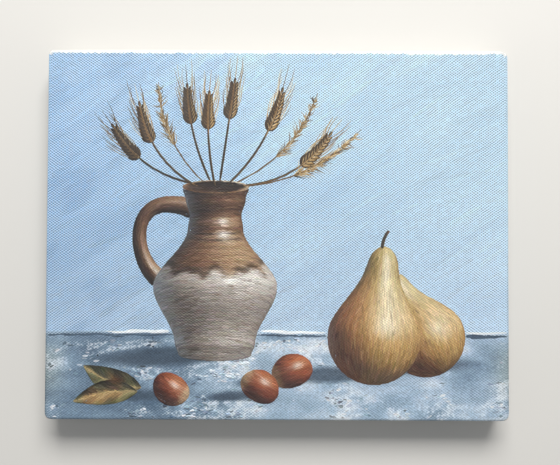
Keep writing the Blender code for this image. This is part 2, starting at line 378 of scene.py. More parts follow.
def raw_cotton():
    """Unprimed cotton duck on the inside, matt and fibrous, with dark flecks of seed husk."""
    add, finish = new_material("raw_cotton_duck")
    cotton = two_shades(canvas_colours().cotton, 0.62)
    weave, thread = weave_height(add)
    # Painted shade: the cotton turns to a darker copy of itself in the hollows of the weave.
    tone = add("Mix", [add("MapRange", [weave, 0.2, 0.7, 0, 1]), *cotton], **MIX)
    fleck = add("TexNoise", {"Vector": thread, "Scale": per_metre(2.4), "Detail": 3})
    husk = add("MapRange", [fleck, 0.66, 0.72, 0, 1])
    return finish(
        {
            "Base Color": add("Mix", [husk, tone, linear("7d6645")], **MIX),
            "Roughness": 0.95,
            "Normal": add("Bump", {"Height": weave, "Distance": 1.2 * cloth_sizes().weave_depth}),
        }
    )


@functools.cache
def oil_strokes():
    """Oil paint laid by brush: satin, with bristle marks along each stroke and the weave faint below, its
    hollows in painted shade.
    """
    add, finish = new_material("oil_paint_strokes")
    weave, _ = weave_height(add)
    paint = add("Attribute", attribute_name="Paint")
    # Painted shade: the paint is darker over the hollows of the weave.
    hollow = add("MapRange", [weave, 0.10, 0.80, 0.66, 0.96])
    stroke = add("UVMap", uv_map="Stroke")
    hairs = add("Mapping", {"Vector": stroke, "Scale": (per_metre(11.1), per_metre(0.143), 1)})
    marks = add("TexNoise", {"Vector": hairs, "Scale": 1, "Detail": 1})
    threads = add("Bump", {"Height": weave, "Distance": 0.35 * cloth_sizes().weave_depth})
    return finish(
        {
            "Base Color": add("Mix", [1.0, paint, hollow], **SHADE),
            "Roughness": add("MapRange", [marks, 0.3, 0.7, 0.34, 0.5]),
            "IOR": OIL_IOR,
            "Normal": add("Bump", {"Height": marks, "Distance": 0.03 * MM, "Normal": threads}),
        }
    )


def planed_wood(name, base, ring, grain_turn, ring_width, depth):
    """Wood cut smooth: growth rings drawn out along the length, with fine fibres between them."""
    add, finish = new_material(name)
    place = add("TexCoord", out="Object")
    along = add("Mapping", {"Vector": place, "Rotation": (0, 0, grain_turn)})
    drawn = add("Mapping", {"Vector": along, "Scale": (0.07, 1, 1)})
    # A ring is pi / 10 wide in the texture's own units.
    inputs = {"Vector": drawn, "Scale": math.pi / 10 / ring_width}
    inputs |= {"Distortion": 3.2, "Detail": 2, "Detail Scale": 0.6}
    rings = add("TexWave", inputs, "Fac", wave_type="RINGS", rings_direction="X", wave_profile="SAW")
    late = add("MapRange", [rings, 0.45, 0.95, 0, 1], interpolation_type="SMOOTHSTEP")
    thin = per_metre(0.24)
    fine = add("Mapping", {"Vector": along, "Scale": (per_metre(9.1), thin, thin)})
    fibre = add("TexNoise", {"Vector": fine, "Scale": 1, "Detail": 3})
    flame = add("TexNoise", {"Vector": drawn, "Scale": per_metre(14.3), "Detail": 2})
    wood = add("Mix", [add("Math", [late, 0.75], operation="MULTIPLY"), base, ring], **MIX)
    wood = add("Mix", [1.0, wood, add("MapRange", [fibre, 0.25, 0.75, 0.86, 1.08])], **SHADE)
    warm = add("MapRange", [flame, 0.4, 0.7, 0, 0.35])
    relief = add("Math", [late, 0.4, fibre], **SCALED_SUM)
    return finish(
        {
            "Base Color": add("Mix", [warm, wood, ring], data_type="RGBA", blend_type="SOFT_LIGHT"),
            "Roughness": add("MapRange", [late, 0, 1, 0.62, 0.5]),
            "Normal": add("Bump", {"Height": relief, "Distance": depth}),
        }
    )


def galvanised_wire():
    """Zinc-coated steel wire: dull grey metal with a faint spangle."""
    add, finish = new_material("galvanised_steel_wire")
    place = add("TexCoord", out="Object")
    spangle = add("TexVoronoi", {"Vector": place, "Scale": per_metre(0.71)}, "Color")
    grey = add("RGBToBW", [spangle])
    return finish(
        {
            "Base Color": add("Mix", [grey, *two_shades(canvas_colours().wire, 0.7)], **MIX),
            "Metallic": 1,
            "Roughness": add("MapRange", [grey, 0, 1, 0.34, 0.5]),
        }
    )


def pale_floor():
    """Smooth pale board, matt and even."""
    add, finish = new_material("pale_studio_board")
    place = add("TexCoord", out="Object")
    tone = add("TexNoise", {"Vector": place, "Scale": per_metre(330), "Detail": 2})
    shades = two_shades(bpy.context.scene.canvas_stage.floor, 0.97)
    return finish({"Base Color": add("Mix", [tone, *shades], **MIX), "Roughness": 0.8})


# ---------------------------------------------------------------- the cloth's shape

# Each corner's own radius, from the folding of its cloth.
CORNER_ROUND = {(-1, 1): 3.0 * MM, (1, 1): 4.0 * MM, (1, -1): 4.0 * MM, (-1, -1): 3.8 * MM}
LEAST_ROUND = 0.3 * MM
QUARTER_TURN = [math.radians(step) for step in (0, 22.5, 45, 67.5, 90)]
SIDE_ROWS, FLAP_ROWS = 11, 7
SAG_REACH, FACE_WAVE, SIDE_SLACK = 6.5 * MM, 0.07 * MM, 0.16 * MM
PLEAT_FROM, PLEAT_WIDE = 1.4 * MM, 14.2 * MM
PAD_LONG, PAD_EDGE = 24 * MM, 1.0 * MM
FLAT_SPAN = 320.5 * MM


def half_sizes():
    """Half the width and height of the face, without the pleats."""
    return np.array(HIGH[:2]) - cloth_sizes().side_fold


def flat_half():
    """Half the width and height of the flat part of the face, inside its rounded edge."""
    return half_sizes() - cloth_sizes().edge_round


def rounded(x, y, half_x, half_y, shrink):
    """Draws the corners of a rectangle, and the grid inside it, in to quarter circles."""
    x, y = np.array(x, float), np.array(y, float)
    for (side_x, side_y), radius in CORNER_ROUND.items():
        radius = np.maximum(radius - shrink, LEAST_ROUND)
        away_x, away_y = side_x * x - (half_x - radius), side_y * y - (half_y - radius)
        inside = (away_x > 0) & (away_y > 0)
        share = np.maximum(away_x, away_y) / np.maximum(np.hypot(away_x, away_y), 1e-9)
        x = np.where(inside, side_x * (half_x - radius + away_x * share), x)
        y = np.where(inside, side_y * (half_y - radius + away_y * share), y)
    return x, y


def face_height(x, y):
    """Height of the face: a flat bead along the bars' lips, a shallow sag inside it and small waves."""
    sizes = cloth_sizes()
    half_x, half_y = half_sizes()
    near_x = np.maximum(half_x - np.abs(x), 1e-6)
    near_y = np.maximum(half_y - np.abs(y), 1e-6)
    near = (near_x**-4 + near_y**-4) ** -0.25
    beyond = np.maximum(near - sizes.bead, 0)
    sag = sizes.sag * (1 - np.exp(-beyond / SAG_REACH))
    wave = FACE_WAVE * (clouds(x / (31 * MM), y / (27 * MM), 61, 2) - 0.5) * smooth(0, 12 * MM, beyond)
    return HIGH.z - sag + wave


def side_section(way):
    """Inset and level of the cloth at a way over its edge, and how far it faces out and up there."""
    sizes = cloth_sizes()
    radius = sizes.edge_round
    top, foot = HIGH.z - radius, sizes.back_fold + radius
    bend = math.pi / 2 * radius
    front = np.clip(way / radius, 0, math.pi / 2)
    down = np.clip(way - bend, 0, top - foot)
    under = np.clip((way - bend - (top - foot)) / radius, 0, math.pi / 2)
    inward = np.maximum(way - 2 * bend - (top - foot), 0)
    inset = np.where(under > 0, radius * (1 - np.cos(under)), radius * (1 - np.sin(front))) + inward
    level = np.where(under > 0, foot - radius * np.sin(under), top + radius * np.cos(front) - down)
    return inset, level, np.sin(front + under), np.cos(front + under)


def cloth_section():
    """Rings of the cloth from the face's edge over the side to the hem: inset, height and way gone."""
    sizes = cloth_sizes()
    radius = sizes.edge_round
    bend, side = math.pi / 2 * radius, HIGH.z - sizes.back_fold - 2 * radius
    flap = sizes.flap - radius
    ways = [radius * turn for turn in QUARTER_TURN]
    ways += [bend + side * row / SIDE_ROWS for row in range(1, SIDE_ROWS + 1)]
    ways += [bend + side + radius * turn for turn in QUARTER_TURN[2:]]
    ways += [2 * bend + side + flap * row / FLAP_ROWS for row in range(1, FLAP_ROWS + 1)]
    inset, level, _, _ = side_section(np.array(ways))
    return list(zip(inset, level, ways))


def lining_section(rings):
    """Every second ring moved in by the cloth's thickness, from the hem back to the face's edge."""
    sizes = cloth_sizes()
    radius, thick = sizes.edge_round, sizes.thickness
    shrink = (radius - thick) / radius
    lining = []
    for inset, height, way in reversed(rings[::2]):
        if inset > radius:
            lining.append((inset, height + thick, way))
            continue
        level = min(max(height, sizes.back_fold + radius), HIGH.z - radius)
        lining.append((radius - (radius - inset) * shrink, level + (height - level) * shrink, way))
    return lining


def cloth_points():
    """Points, quads, thread coordinates of the quads' corners, way over the edge, and skin of each quad."""
    sizes = cloth_sizes()
    half, flat_edge = half_sizes(), flat_half()
    columns, rows = (round(2 * size / sizes.cell) + 1 for size in half)
    up, along = np.meshgrid(np.linspace(-1, 1, rows), np.linspace(-1, 1, columns), indexing="ij")
    grid = np.stack([along.ravel(), up.ravel()], -1)
    flat = grid * flat_edge
    x, y = rounded(*flat.T, *flat_edge, sizes.edge_round)
    height = face_height(x, y)
    quads = grid_quads(rows, columns)
    number = np.arange(rows * columns).reshape(rows, columns)
    sides = (number[0, :-1], number[:-1, -1], number[-1, :0:-1], number[:0:-1, 0])
    loop = np.concatenate(sides)
    outward = np.repeat([(0, -1), (1, 0), (0, 1), (-1, 0)], [len(side) for side in sides], axis=0)
    points = [np.stack([x, y, height], -1), np.stack([x, y, height - sizes.thickness], -1)]
    outer = cloth_section()
    rings = outer[1:] + lining_section(outer)[:-1]
    steps = np.arange(len(loop))
    for inset, level, way in rings:
        ring = np.stack(rounded(*(grid[loop] * (half - inset)).T, *(half - inset), inset), -1)
        slack = SIDE_SLACK * (clouds(steps / 17, np.full(len(steps), way / (9 * MM)), 7, 2) - 0.5)
        held = smooth(0, 4 * MM, way) * (level > sizes.back_fold + 0.1 * MM)
        ring = ring * (1 + held * slack[:, None] / half)
        points.append(np.column_stack([ring, np.full(len(loop), level)]))
    # Each band of quads joins a ring to the next, from the face's border round to the lining's.
    ring_ways = np.array([0.0, *(way for _, _, way in rings), 0.0])
    between = 2 * rows * columns + np.arange(len(rings))[:, None] * len(loop) + steps
    around = np.concatenate([loop[None], between, loop[None] + rows * columns])
    upper, lower = around[:-1], around[1:]
    bands = np.stack([upper, lower, np.roll(lower, -1, 1), np.roll(upper, -1, 1)], -1)
    band_ways = np.stack([ring_ways[:-1], ring_ways[1:], ring_ways[1:], ring_ways[:-1]], -1)
    ahead = np.roll(loop, -1)
    band_flat = flat[np.stack([loop, loop, ahead, ahead], -1)]
    band_threads = band_flat + band_ways[:, None, :, None] * outward[:, None]
    all_quads = np.concatenate([quads, bands.reshape(-1, 4), quads[:, ::-1] + rows * columns])
    threads = np.concatenate([flat[quads], band_threads.reshape(-1, 4, 2), flat[quads[:, ::-1]]])
    ways = np.concatenate([np.zeros(2 * rows * columns), np.repeat(ring_ways[1:-1], len(loop))])
    first_inside = len(quads) + (len(outer) - 1) * len(loop)
    skins = (np.arange(len(all_quads)) >= first_inside).astype(int)
    return np.concatenate(points), all_quads, threads, ways, skins


def sheet_map(threads, skins):
    """Places the painted skin over most of the map, and the lining small along its lower edge."""
    scale = 0.98 / FLAT_SPAN
    outer = threads * scale + (0.5, 0.578)
    lining = threads * (0.17 * scale) + (0.5, 0.083)
    return np.where(skins[:, None, None] == 0, outer, lining)


def on_corner(corner, along, way, off):
    """Points along a side from a corner, way over its edge and off the cloth; minus is round the corner."""
    half_x, half_y = half_sizes()
    inset, level, out, rise = side_section(way)
    inset = inset - off * out
    gone = [np.maximum(-along, 0), np.maximum(along, 0)]
    first, second = gone if corner[0] == corner[1] else reversed(gone)
    x, y = corner[0] * (half_x - inset - first), corner[1] * (half_y - inset - second)
    x, y = rounded(x, y, half_x - inset, half_y - inset, inset)
    return np.stack([x, y, level + off * rise], -1)


def pleat_points(corner):
    """The pleat beside a corner: it starts as a point under the face and widens to the back's edge."""
    sizes = cloth_sizes()
    depth = HIGH.z - sizes.back_fold
    ways = [np.linspace(1.4, 3.0, 4), np.linspace(4.2, 17, 12), np.linspace(18, 22.5, 6)]
    fold = sizes.side_fold / 2
    rows = []
    for row, way in enumerate(np.concatenate(ways) * MM):
        free = 0.8 * MM + PLEAT_WIDE * min(max((way - PLEAT_FROM) / (depth - PLEAT_FROM), 0), 1) ** 1.08
        # The root lies round the corner, at minus places, and the free edge turns over by a fold.
        root = np.linspace(-4.2, -0.4, 6) * MM
        body = np.concatenate([root, np.linspace(0, 1, 12) * (free - 0.3 * MM) + 0.1 * MM])
        thick = 2 * fold * smooth(-4.0 * MM, -0.8 * MM, body)
        hollow = 0.22 * MM * np.sin(np.clip(body / free, 0, 1) * math.pi) * min(row / 8, 1)
        edge = np.linspace(0, math.pi, 5)[1:]
        along = np.concatenate([body, free - 0.2 * MM + fold * np.sin(edge)])
        off = np.concatenate([thick - hollow, fold * (1 + np.cos(edge)) - 0.04 * MM * (edge > 3)])
        grown = smooth(PLEAT_FROM, 3.6 * MM, way) * (1 - smooth(18.5 * MM, 22.5 * MM, way))
        off = off * grown - 0.06 * MM * (1 - grown) - 0.05 * MM * (along < -3.9 * MM)
        drift = clouds(way / (5 * MM), 0.0, 31 + corner[0] + 2 * corner[1], 2) - 0.5
        rows.append(np.stack([along + 0.25 * MM * drift, np.full_like(along, way), off], -1))
    return np.stack(rows)


def pad_points(corner):
    """The doubled cloth on the back of a corner: a flat pad with soft edges, cut off along the mitre."""
    sizes = cloth_sizes()
    near = 2 * sizes.edge_round
    wide, deep = PAD_LONG - near, sizes.flap - 2 * near
    top = sizes.back_fold + 0.1 * MM
    share = 0.5 * (1 - np.cos(np.linspace(0, math.pi, 13)))
    across, along = np.meshgrid(share, share, indexing="ij")
    from_sides = [near + wide * along + deep * across * 0.30 * (1 - along), near + deep * across]
    edge = np.minimum(np.minimum(across, 1 - across) * deep, np.minimum(along, 1 - along) * wide)
    bulge = np.sqrt(1 - (1 - np.clip(edge / PAD_EDGE, 0, 1)) ** 2)
    if corner[0] == corner[1]:
        from_sides.reverse()
    place = [side * (half - inset) for side, half, inset in zip(corner, half_sizes(), from_sides)]
    return np.stack([*place, top * (1 - bulge)], -1)


def facing_out(points, quads, outward):
    """Turns all quads round if they face away from a direction."""
    corners = points[quads]
    normal = np.cross(corners[:, 2] - corners[:, 0], corners[:, 3] - corners[:, 1]).sum(0)
    return quads if normal @ np.array(outward) > 0 else quads[:, ::-1]


# ---------------------------------------------------------------- the picture: light, forms and colours

LEDGE_TOP = -54.0
BRUSHED_UP = 0.52
SQUASH = 0.17
LIGHT = np.array([0.50, 0.55, 0.67])
HALFWAY = np.array([0.50, 0.55, 1.67]) / math.dist((0, 0, 0), (0.50, 0.55, 1.67))
GLAZE = srgb("0e0a09", "241712", "4a3123", "7c5a40", "b39470")
CLAY = srgb("37302c", "6a615a", "9a9086", "c3bab0", "e9e4db")
PEAR = srgb("2e2218", "5d452b", "94713f", "bb955c", "d6bb8b", "efe0c0")
PEAR_GREEN = srgb("2f2c1c", "534d30", "827748", "aea06c", "d8cea2")
BLUSH = srgb("28150f", "573021", "8c5638", "c2946a")
CHESTNUT = srgb("1a0c08", "401b10", "763820", "a65c34", "cf9262")
HUSK = srgb("4e3a2a", "92775a", "c8b08c", "ead9bb")
LEAF = srgb("1f2018", "41412c", "75714c", "aea77f")
DRY_LEAF = srgb("2a1a10", "6a4426", "ae8050", "c99f6c")
SKY = srgb("a4d1f6", "c9eafe")
SLATE = srgb("566e84", "7892a8", "a6bfd3", "e2ebf3")
WHEAT = srgb("3b2a1a", "7a5a33", "b08a52", "d9ba82", "f3e6c4")
CLAY_STOPS = [0.05, 0.3, 0.6, 0.85, 1.05]
JUG_LEVELS = np.array([0, 6, 37, 69, 76, 85, 92.0])
JUG_RADII = np.array([20, 22, 34, 15.2, 14.2, 16.5, 18.5])
JUG_GLAZED_FROM, JUG_RINGS = 53, (65.5, 68.5)
JUG_FOOT, JUG_HEIGHT, JUG_MOUTH, JUG_SOLE = (-34.0, -66.0), JUG_LEVELS[-1], JUG_RADII[-1], JUG_RADII[0]


def lit(nx, ny, nz, room=0.20, bounce=0.10):
    """Light on a form in the picture: a window at the upper right, the room, and the ledge below."""
    direct = np.clip(nx * LIGHT[0] + ny * LIGHT[1] + nz * LIGHT[2], 0, 1)
    under = bounce * np.clip(-ny, 0, 1) + 1.3 * bounce * np.clip(-nx, 0, 1) * (1 - nz)
    return room * (0.75 + 0.25 * ny) + 0.85 * direct + under


def highlit(tone, code, normal, sharpness, strength):
    """Adds a highlight of a colour where a form mirrors the window."""
    facing = np.clip(sum(part * half for part, half in zip(normal, HALFWAY)), 0, 1)
    return mixed(tone, srgb(code), np.clip(strength * facing**sharpness, 0, 1))


def turned_form(x, y, foot, lean, height, radius_at, sole=0.0):
    """A turned form seen from a little above: its cover, normals, side, height up, level, way and slope."""
    axis, across_axis = (math.sin(lean), math.cos(lean)), (math.cos(lean), -math.sin(lean))
    across, up = turned(x, y, foot, -lean)
    level = np.clip(up, 0, height)
    radius = np.maximum(radius_at(level), 0.01)
    slope = (radius_at(np.minimum(level + 0.2, height)) - radius_at(np.maximum(level - 0.2, 0))) / 0.4
    drop = np.clip(-up / max(SQUASH * sole, 0.01), 0, 1)
    radius = np.where(up < 0, sole * np.sqrt(1 - drop**2) + 0.01, radius)
    side = np.clip(across / radius, -1, 1)
    deep = np.sqrt(1 - side**2)
    size = np.sqrt(1 + slope**2)
    return SimpleNamespace(
        normal=[(side * across_axis[i] - slope * axis[i]) / size for i in (0, 1)] + [deep / size],
        covers=(np.abs(across) < radius) & (up > -SQUASH * sole) & (up < height),
        side=side,
        up=up,
        level=up + SQUASH * radius * deep,
        round_way=np.arctan2(-SQUASH * side, np.maximum(deep, 0.25)) - lean,
        slope=slope,
    )


def jug_profile(level):
    """The jug's radius at a level, through named radii."""
    place = np.clip(np.searchsorted(JUG_LEVELS, level, side="right") - 1, 0, len(JUG_LEVELS) - 2)
    low, high = JUG_LEVELS[place], JUG_LEVELS[place + 1]
    part = smooth(0, 1, (level - low) / (high - low))
    return JUG_RADII[place] * (1 - part) + JUG_RADII[place + 1] * part


def pear_profile(level, height, widest):
    """A pear's radius at a level: a round base, a neck and a small crown."""
    part = np.clip(level / height, 0, 1)
    base = np.sqrt(np.clip(1 - (1 - part / 0.34) ** 2, 0, 1))
    neck = 0.36 + 0.64 * (1 - smooth(0.34, 0.86, part))
    crown = np.sqrt(np.clip(1 - np.clip((part - 0.80) / 0.20, 0, 1) ** 2, 0, 1))
    return widest * np.where(part < 0.34, base, neck * crown)


def ground(x, y):
    """Pale blue ground, darker to the left, in broad soft strokes that rise to the right."""
    share = np.clip(0.5 + x / 215 + 0.12 * y / 100, 0, 1)
    tone = mixed(np.broadcast_to(SKY[0], x.shape + (3,)), SKY[1], share)
    broad = streaks(x, y, BRUSHED_UP, 42, 9, 3) - 0.5
    haze = clouds(x / 46, y / 40, 8) - 0.5
    smudge = smooth(0.52, 0.66, streaks(x, y, 0.6, 20, 7, 6)) * smooth(110, -30, x)
    dim = np.exp(-(((x + 125) / 50) ** 2) - ((y - 10) / 50) ** 2)
    glow = np.exp(-(((x + 15) / 60) ** 2) - ((y - 85) / 45) ** 2)
    dull = smooth(60, 125, x) * smooth(0, 90, y)
    shift = 0.08 * broad + 0.05 * haze - 0.065 * dim - 0.045 * smudge + 0.045 * glow - 0.02 * dull
    warm_left, dull_right = np.array([0.045, -0.002, -0.030]), np.array([-0.012, -0.028, -0.018])
    low = mixed(warm_left, dull_right, smooth(-20, 110, x)) * smooth(30, LEDGE_TOP, y)[..., None]
    return tone + low + shift[..., None] * np.array([1.15, 1.0, 0.75])


def cast_shadow(x, y):
    """Shadows on the ledge, long and soft to the left of each thing: middle, reach and depth."""
    total = np.zeros_like(x)
    for (middle_x, middle_y), (long, high), depth in (
        ((-62, -67), (40, 6), 0.75),
        ((30, -76.5), (30, 5), 0.75),
        ((76, -72), (36, 4.5), 0.65),
        ((-6, -80.5), (17, 3.2), 0.8),
        ((-24, -88.5), (16, 3), 0.8),
        ((-72, -88), (30, 3.4), 0.6),
    ):
        tilt = y - middle_y - 0.05 * (x - middle_x)
        reach = np.hypot((x - middle_x) / long, tilt / high)
        total = np.maximum(total, depth * smooth(1.15, 0.5, reach))
    return total


def ledge(x, y):
    """Slate-grey ledge: mottled, with whitish dabs, and lighter to the right."""
    value = 0.27 + 0.42 * smooth(-90, 15, x) - 0.10 * smooth(90, 127, x)
    rough = clouds(x / 17, y / 9, 21, 4) - 0.5
    tone = ramp(value + rough + 0.45 * scumble(x, y), [0, 0.4, 0.75, 1.1], SLATE)
    warm = 0.35 * smooth(112, 126, np.abs(x)) * smooth(-98, -75, y) * smooth(LEDGE_TOP, -70, y)
    return mixed(mixed(tone, srgb("a3a58c"), warm), srgb("3d4a58"), cast_shadow(x, y))


def scumble(x, y):
    """How much white is dragged dry over the ledge: in patches, and none in the shadows."""
    patches = smooth(0.34, 0.78, clouds(x / 18, y / 12, 33, 3))
    grain = np.clip(0.5 + 1.5 * (clouds(x / 3.4, y / 2.4, 35, 2) - 0.5), 0, 1)
    on_ledge = smooth(LEDGE_TOP - 2.5, LEDGE_TOP - 6, y)
    return patches * grain * on_ledge * smooth(0.3, 0.05, cast_shadow(x, y))


def jug(x, y):
    """A stoneware jug: bare speckled clay below, and a brown glaze that runs down over its shoulder."""
    form = turned_form(x, y, JUG_FOOT, 0, JUG_HEIGHT, jug_profile, JUG_SOLE)
    side, level = form.side, form.level
    light = lit(*form.normal) + 0.03 * np.sin(level * 1.9 + 1.5 * clouds(side * 3, level / 20, 4))
    speckle = 0.5 * smooth(0.70, 0.80, clouds(x / 1.5, y / 1.5, 44, 2))
    clay = mixed(ramp(light, CLAY_STOPS, CLAY), GLAZE[2], speckle)
    round_place = np.arcsin(side)
    drip = 5.0 * clouds(round_place * 5.5, np.zeros_like(x), 12, 2)
    for place, width, reach in ((0.25, 0.10, 8), (-0.75, 0.12, 5), (1.0, 0.09, 6), (-0.2, 0.07, 4)):
        drip = drip + reach * np.exp(-(((round_place - place) / width) ** 2))
    edge = JUG_GLAZED_FROM - drip
    glazed = smooth(edge - 0.8, edge + 0.8, level)
    pool = np.exp(-(((level - edge - 1.4) / 1.6) ** 2))
    tone = mixed(clay, ramp(light, CLAY_STOPS, GLAZE), glazed)
    tone = mixed(tone, GLAZE[0] * 0.8, 0.6 * pool * glazed)
    for ring in JUG_RINGS:
        tone = mixed(tone, GLAZE[0], 0.6 * np.exp(-(((level - ring) / 0.55) ** 2)))
        tone = mixed(tone, GLAZE[4], 0.4 * light * np.exp(-(((level - ring + 1) / 0.5) ** 2)))
    tone = highlit(tone, "f2f0ea", form.normal, 60, 1.25 * (0.22 + 0.78 * glazed))
    tone = mixed(tone, srgb("8499ab"), np.clip(1.1 * (-form.normal[0] - 0.55), 0, 0.45))
    return form.covers, mixed(tone, CLAY[0], 0.4 * smooth(9, -4, form.up)), form.round_way


def jug_mouth(x, y):
    """The jug's mouth: a lit rim round a dark inside."""
    across = (x - JUG_FOOT[0]) / JUG_MOUTH
    up = (y - JUG_FOOT[1] - JUG_HEIGHT) / (JUG_MOUTH * SQUASH * 1.15)
    reach = np.hypot(across, up)
    inside = ramp(0.5 - 0.5 * up - 0.25 * across, [0, 0.5, 1.0], GLAZE[[0, 1, 2]])
    rim = ramp(0.55 + 0.25 * across + 0.27 * up, [0, 0.5, 1], srgb("4a3324", "9c7a56", "efe4cf"))
    return reach < 1, mixed(inside, rim, smooth(0.84, 0.92, reach)), np.zeros_like(x)


def jug_handle(x, y):
    """A strap from the neck out to the left and down to the belly."""
    route = np.array([(-13.5, 80), (-48, 92), (-47, 54), (-31.5, 42)]) + JUG_FOOT
    part = np.linspace(0, 1, 60)[:, None]
    shares = [(1 - part) ** 3, 3 * part * (1 - part) ** 2, 3 * part**2 * (1 - part), part**3]
    line = sum(share * point for share, point in zip(shares, route))
    gaps = np.hypot(x[..., None] - line[:, 0], y[..., None] - line[:, 1])
    which = gaps.argmin(-1)
    way = np.gradient(line, axis=0)
    way /= np.linalg.norm(way, axis=1)[:, None]
    across = (y - line[which, 1]) * way[which, 0] - (x - line[which, 0]) * way[which, 1]
    radius = 3.8 + 1.6 * np.abs(2 * which / 59 - 1) ** 2
    side = np.clip(across / radius, -1, 1)
    normal = (-way[which, 1] * side, way[which, 0] * side, np.sqrt(1 - side**2))
    tone = highlit(ramp(lit(*normal, 0.16), CLAY_STOPS, GLAZE), "efe9de", normal, 40, 0.9)
    return gaps.min(-1) < radius, tone, np.arctan2(way[which, 1], way[which, 0])


def pear(x, y, foot, lean, height, widest, seed):
    """A russet pear: greener at the neck, with a chestnut blush away from the light and dark dots."""
    profile = functools.partial(pear_profile, height=height, widest=widest)
    form = turned_form(x, y, foot, lean, height, profile)
    light = lit(*form.normal, 0.2, 0.14) + 0.05 * (clouds(x / 5, y / 5, seed, 2) - 0.5)
    skin = ramp(light, [0.05, 0.3, 0.55, 0.8, 1.0, 1.1], PEAR)
    green = ramp(light, [0.05, 0.3, 0.6, 0.85, 1.1], PEAR_GREEN)
    skin = mixed(skin, green, 0.55 * smooth(0.45, 0.85, form.up / height))
    blush = ramp(light, [0.05, 0.35, 0.65, 1.0], BLUSH)
    away = smooth(-0.1, 0.75, -form.side + 0.35 * (clouds(x / 9, y / 12, seed + 3) - 0.5))
    skin = mixed(skin, blush, 0.72 * away * smooth(0.95, 0.4, form.up / height))
    skin = mixed(skin, PEAR[0], 0.4 * smooth(0.72, 0.82, clouds(x / 1.3, y / 1.3, seed + 9, 2)))
    skin = highlit(skin, "fbf3dc", form.normal, 26, 0.75)
    skin = mixed(skin, srgb("8194a2"), np.clip(-form.normal[0] - 0.72, 0, 1))
    outward = form.side * form.slope
    way_x = math.sin(lean) + outward * math.cos(lean)
    way_y = math.cos(lean) - outward * math.sin(lean)
    return form.covers, skin, np.arctan2(way_y, way_x)


def chestnut(x, y, middle, long, high, tilt, seed):
    """A glossy chestnut with its pale scar at one end."""
    right, rise = math.cos(tilt), math.sin(tilt)
    along, up = turned(x, y, middle, tilt)
    along = along / long
    up = up / high + 0.10 * along * along
    reach = np.hypot(along, up)
    normal = (along * right - up * rise, along * rise + up * right, np.sqrt(np.clip(1 - reach**2, 0, 1)))
    light = lit(*normal, 0.14, 0.16)
    skin = ramp(light, [0.05, 0.3, 0.6, 0.9, 1.1], CHESTNUT)
    skin = skin * (1 + 0.30 * (clouds(along * 2, up * 9, seed, 2) - 0.5))[..., None]
    scar = smooth(-0.52, -0.66, along + 0.12 * up * up)
    skin = mixed(skin, ramp(light, [0.05, 0.4, 0.8, 1.1], HUSK), scar)
    return reach < 1, highlit(skin, "f6f0e6", normal, 45, 1.3 * (1 - scar)), tilt + 0.5 * along * up


def leaf(x, y, start, tilt, long, wide, bow, seed):
    """A drying leaf, folded along its rib, with side veins and brown patches."""
    along, across = turned(x, y, start, tilt)
    along = along / long
    arch = np.sin(np.clip(along, 0, 1) * math.pi)
    off_rib = across - bow * arch
    spread = off_rib / np.maximum(wide / 2 * arch**0.8 * (1.25 - 0.5 * along), 0.05)
    light = np.where(spread > 0, 0.72, 0.36) - 0.25 * np.abs(spread)
    light = light + 0.14 * np.sin(along * 17 - np.abs(spread) * 4)
    green, brown = (ramp(light, [0, 0.3, 0.6, 0.9], colours) for colours in (LEAF, DRY_LEAF))
    tone = mixed(green, brown, 0.8 * smooth(0.45, 0.75, clouds(x / 8, y / 8, seed)))
    tone = mixed(tone, WHEAT[3], 0.8 * np.exp(-((off_rib / 0.45) ** 2)))
    covers = (along > 0) & (along < 1) & (np.abs(spread) < 1)
    return covers, tone, tilt + np.where(spread > 0, 0.5, -0.5)


# Things in the picture from back to front, each with its sizes and the window that holds it:
# left, bottom, right and top.
THINGS = [
    (jug_handle, (), (-86, -30, -40, 34)),
    (jug, (), (-72, -74, 4, 30)),
    (jug_mouth, (), (-56, 20, -12, 32)),
    (pear, ((92, -75), -0.52, 62, 21.5, 5), (44, -80, 122, -10)),
    (pear, ((50, -82), 0.12, 76, 25.5, 6), (20, -86, 90, 0)),
    (leaf, ((-74, -84), 2.78, 34, 15, 3, 51), (-112, -88, -70, -60)),
    (leaf, ((-76, -86), 3.30, 36, 13, -2, 52), (-116, -101, -72, -80)),
    (chestnut, ((8, -74.5), 11.5, 9.2, 0.35, 7), (-6, -88, 22, -62)),
    (chestnut, ((-9, -83), 11.0, 8.8, -0.5, 8), (-24, -96, 6, -70)),
    (chestnut, ((-58, -85), 10.5, 8.6, 2.6, 9), (-72, -98, -44, -72)),
]
STROKES_TO = (125.6, 100.2)
OFF_FACE, ON_GROUND, ON_LEDGE, FIRST_THING = -1, 0, 1, 2
EASEL_STEP = 0.3
EASEL_HALF = (128.1, 102.6)
OUTLINE = 0.9


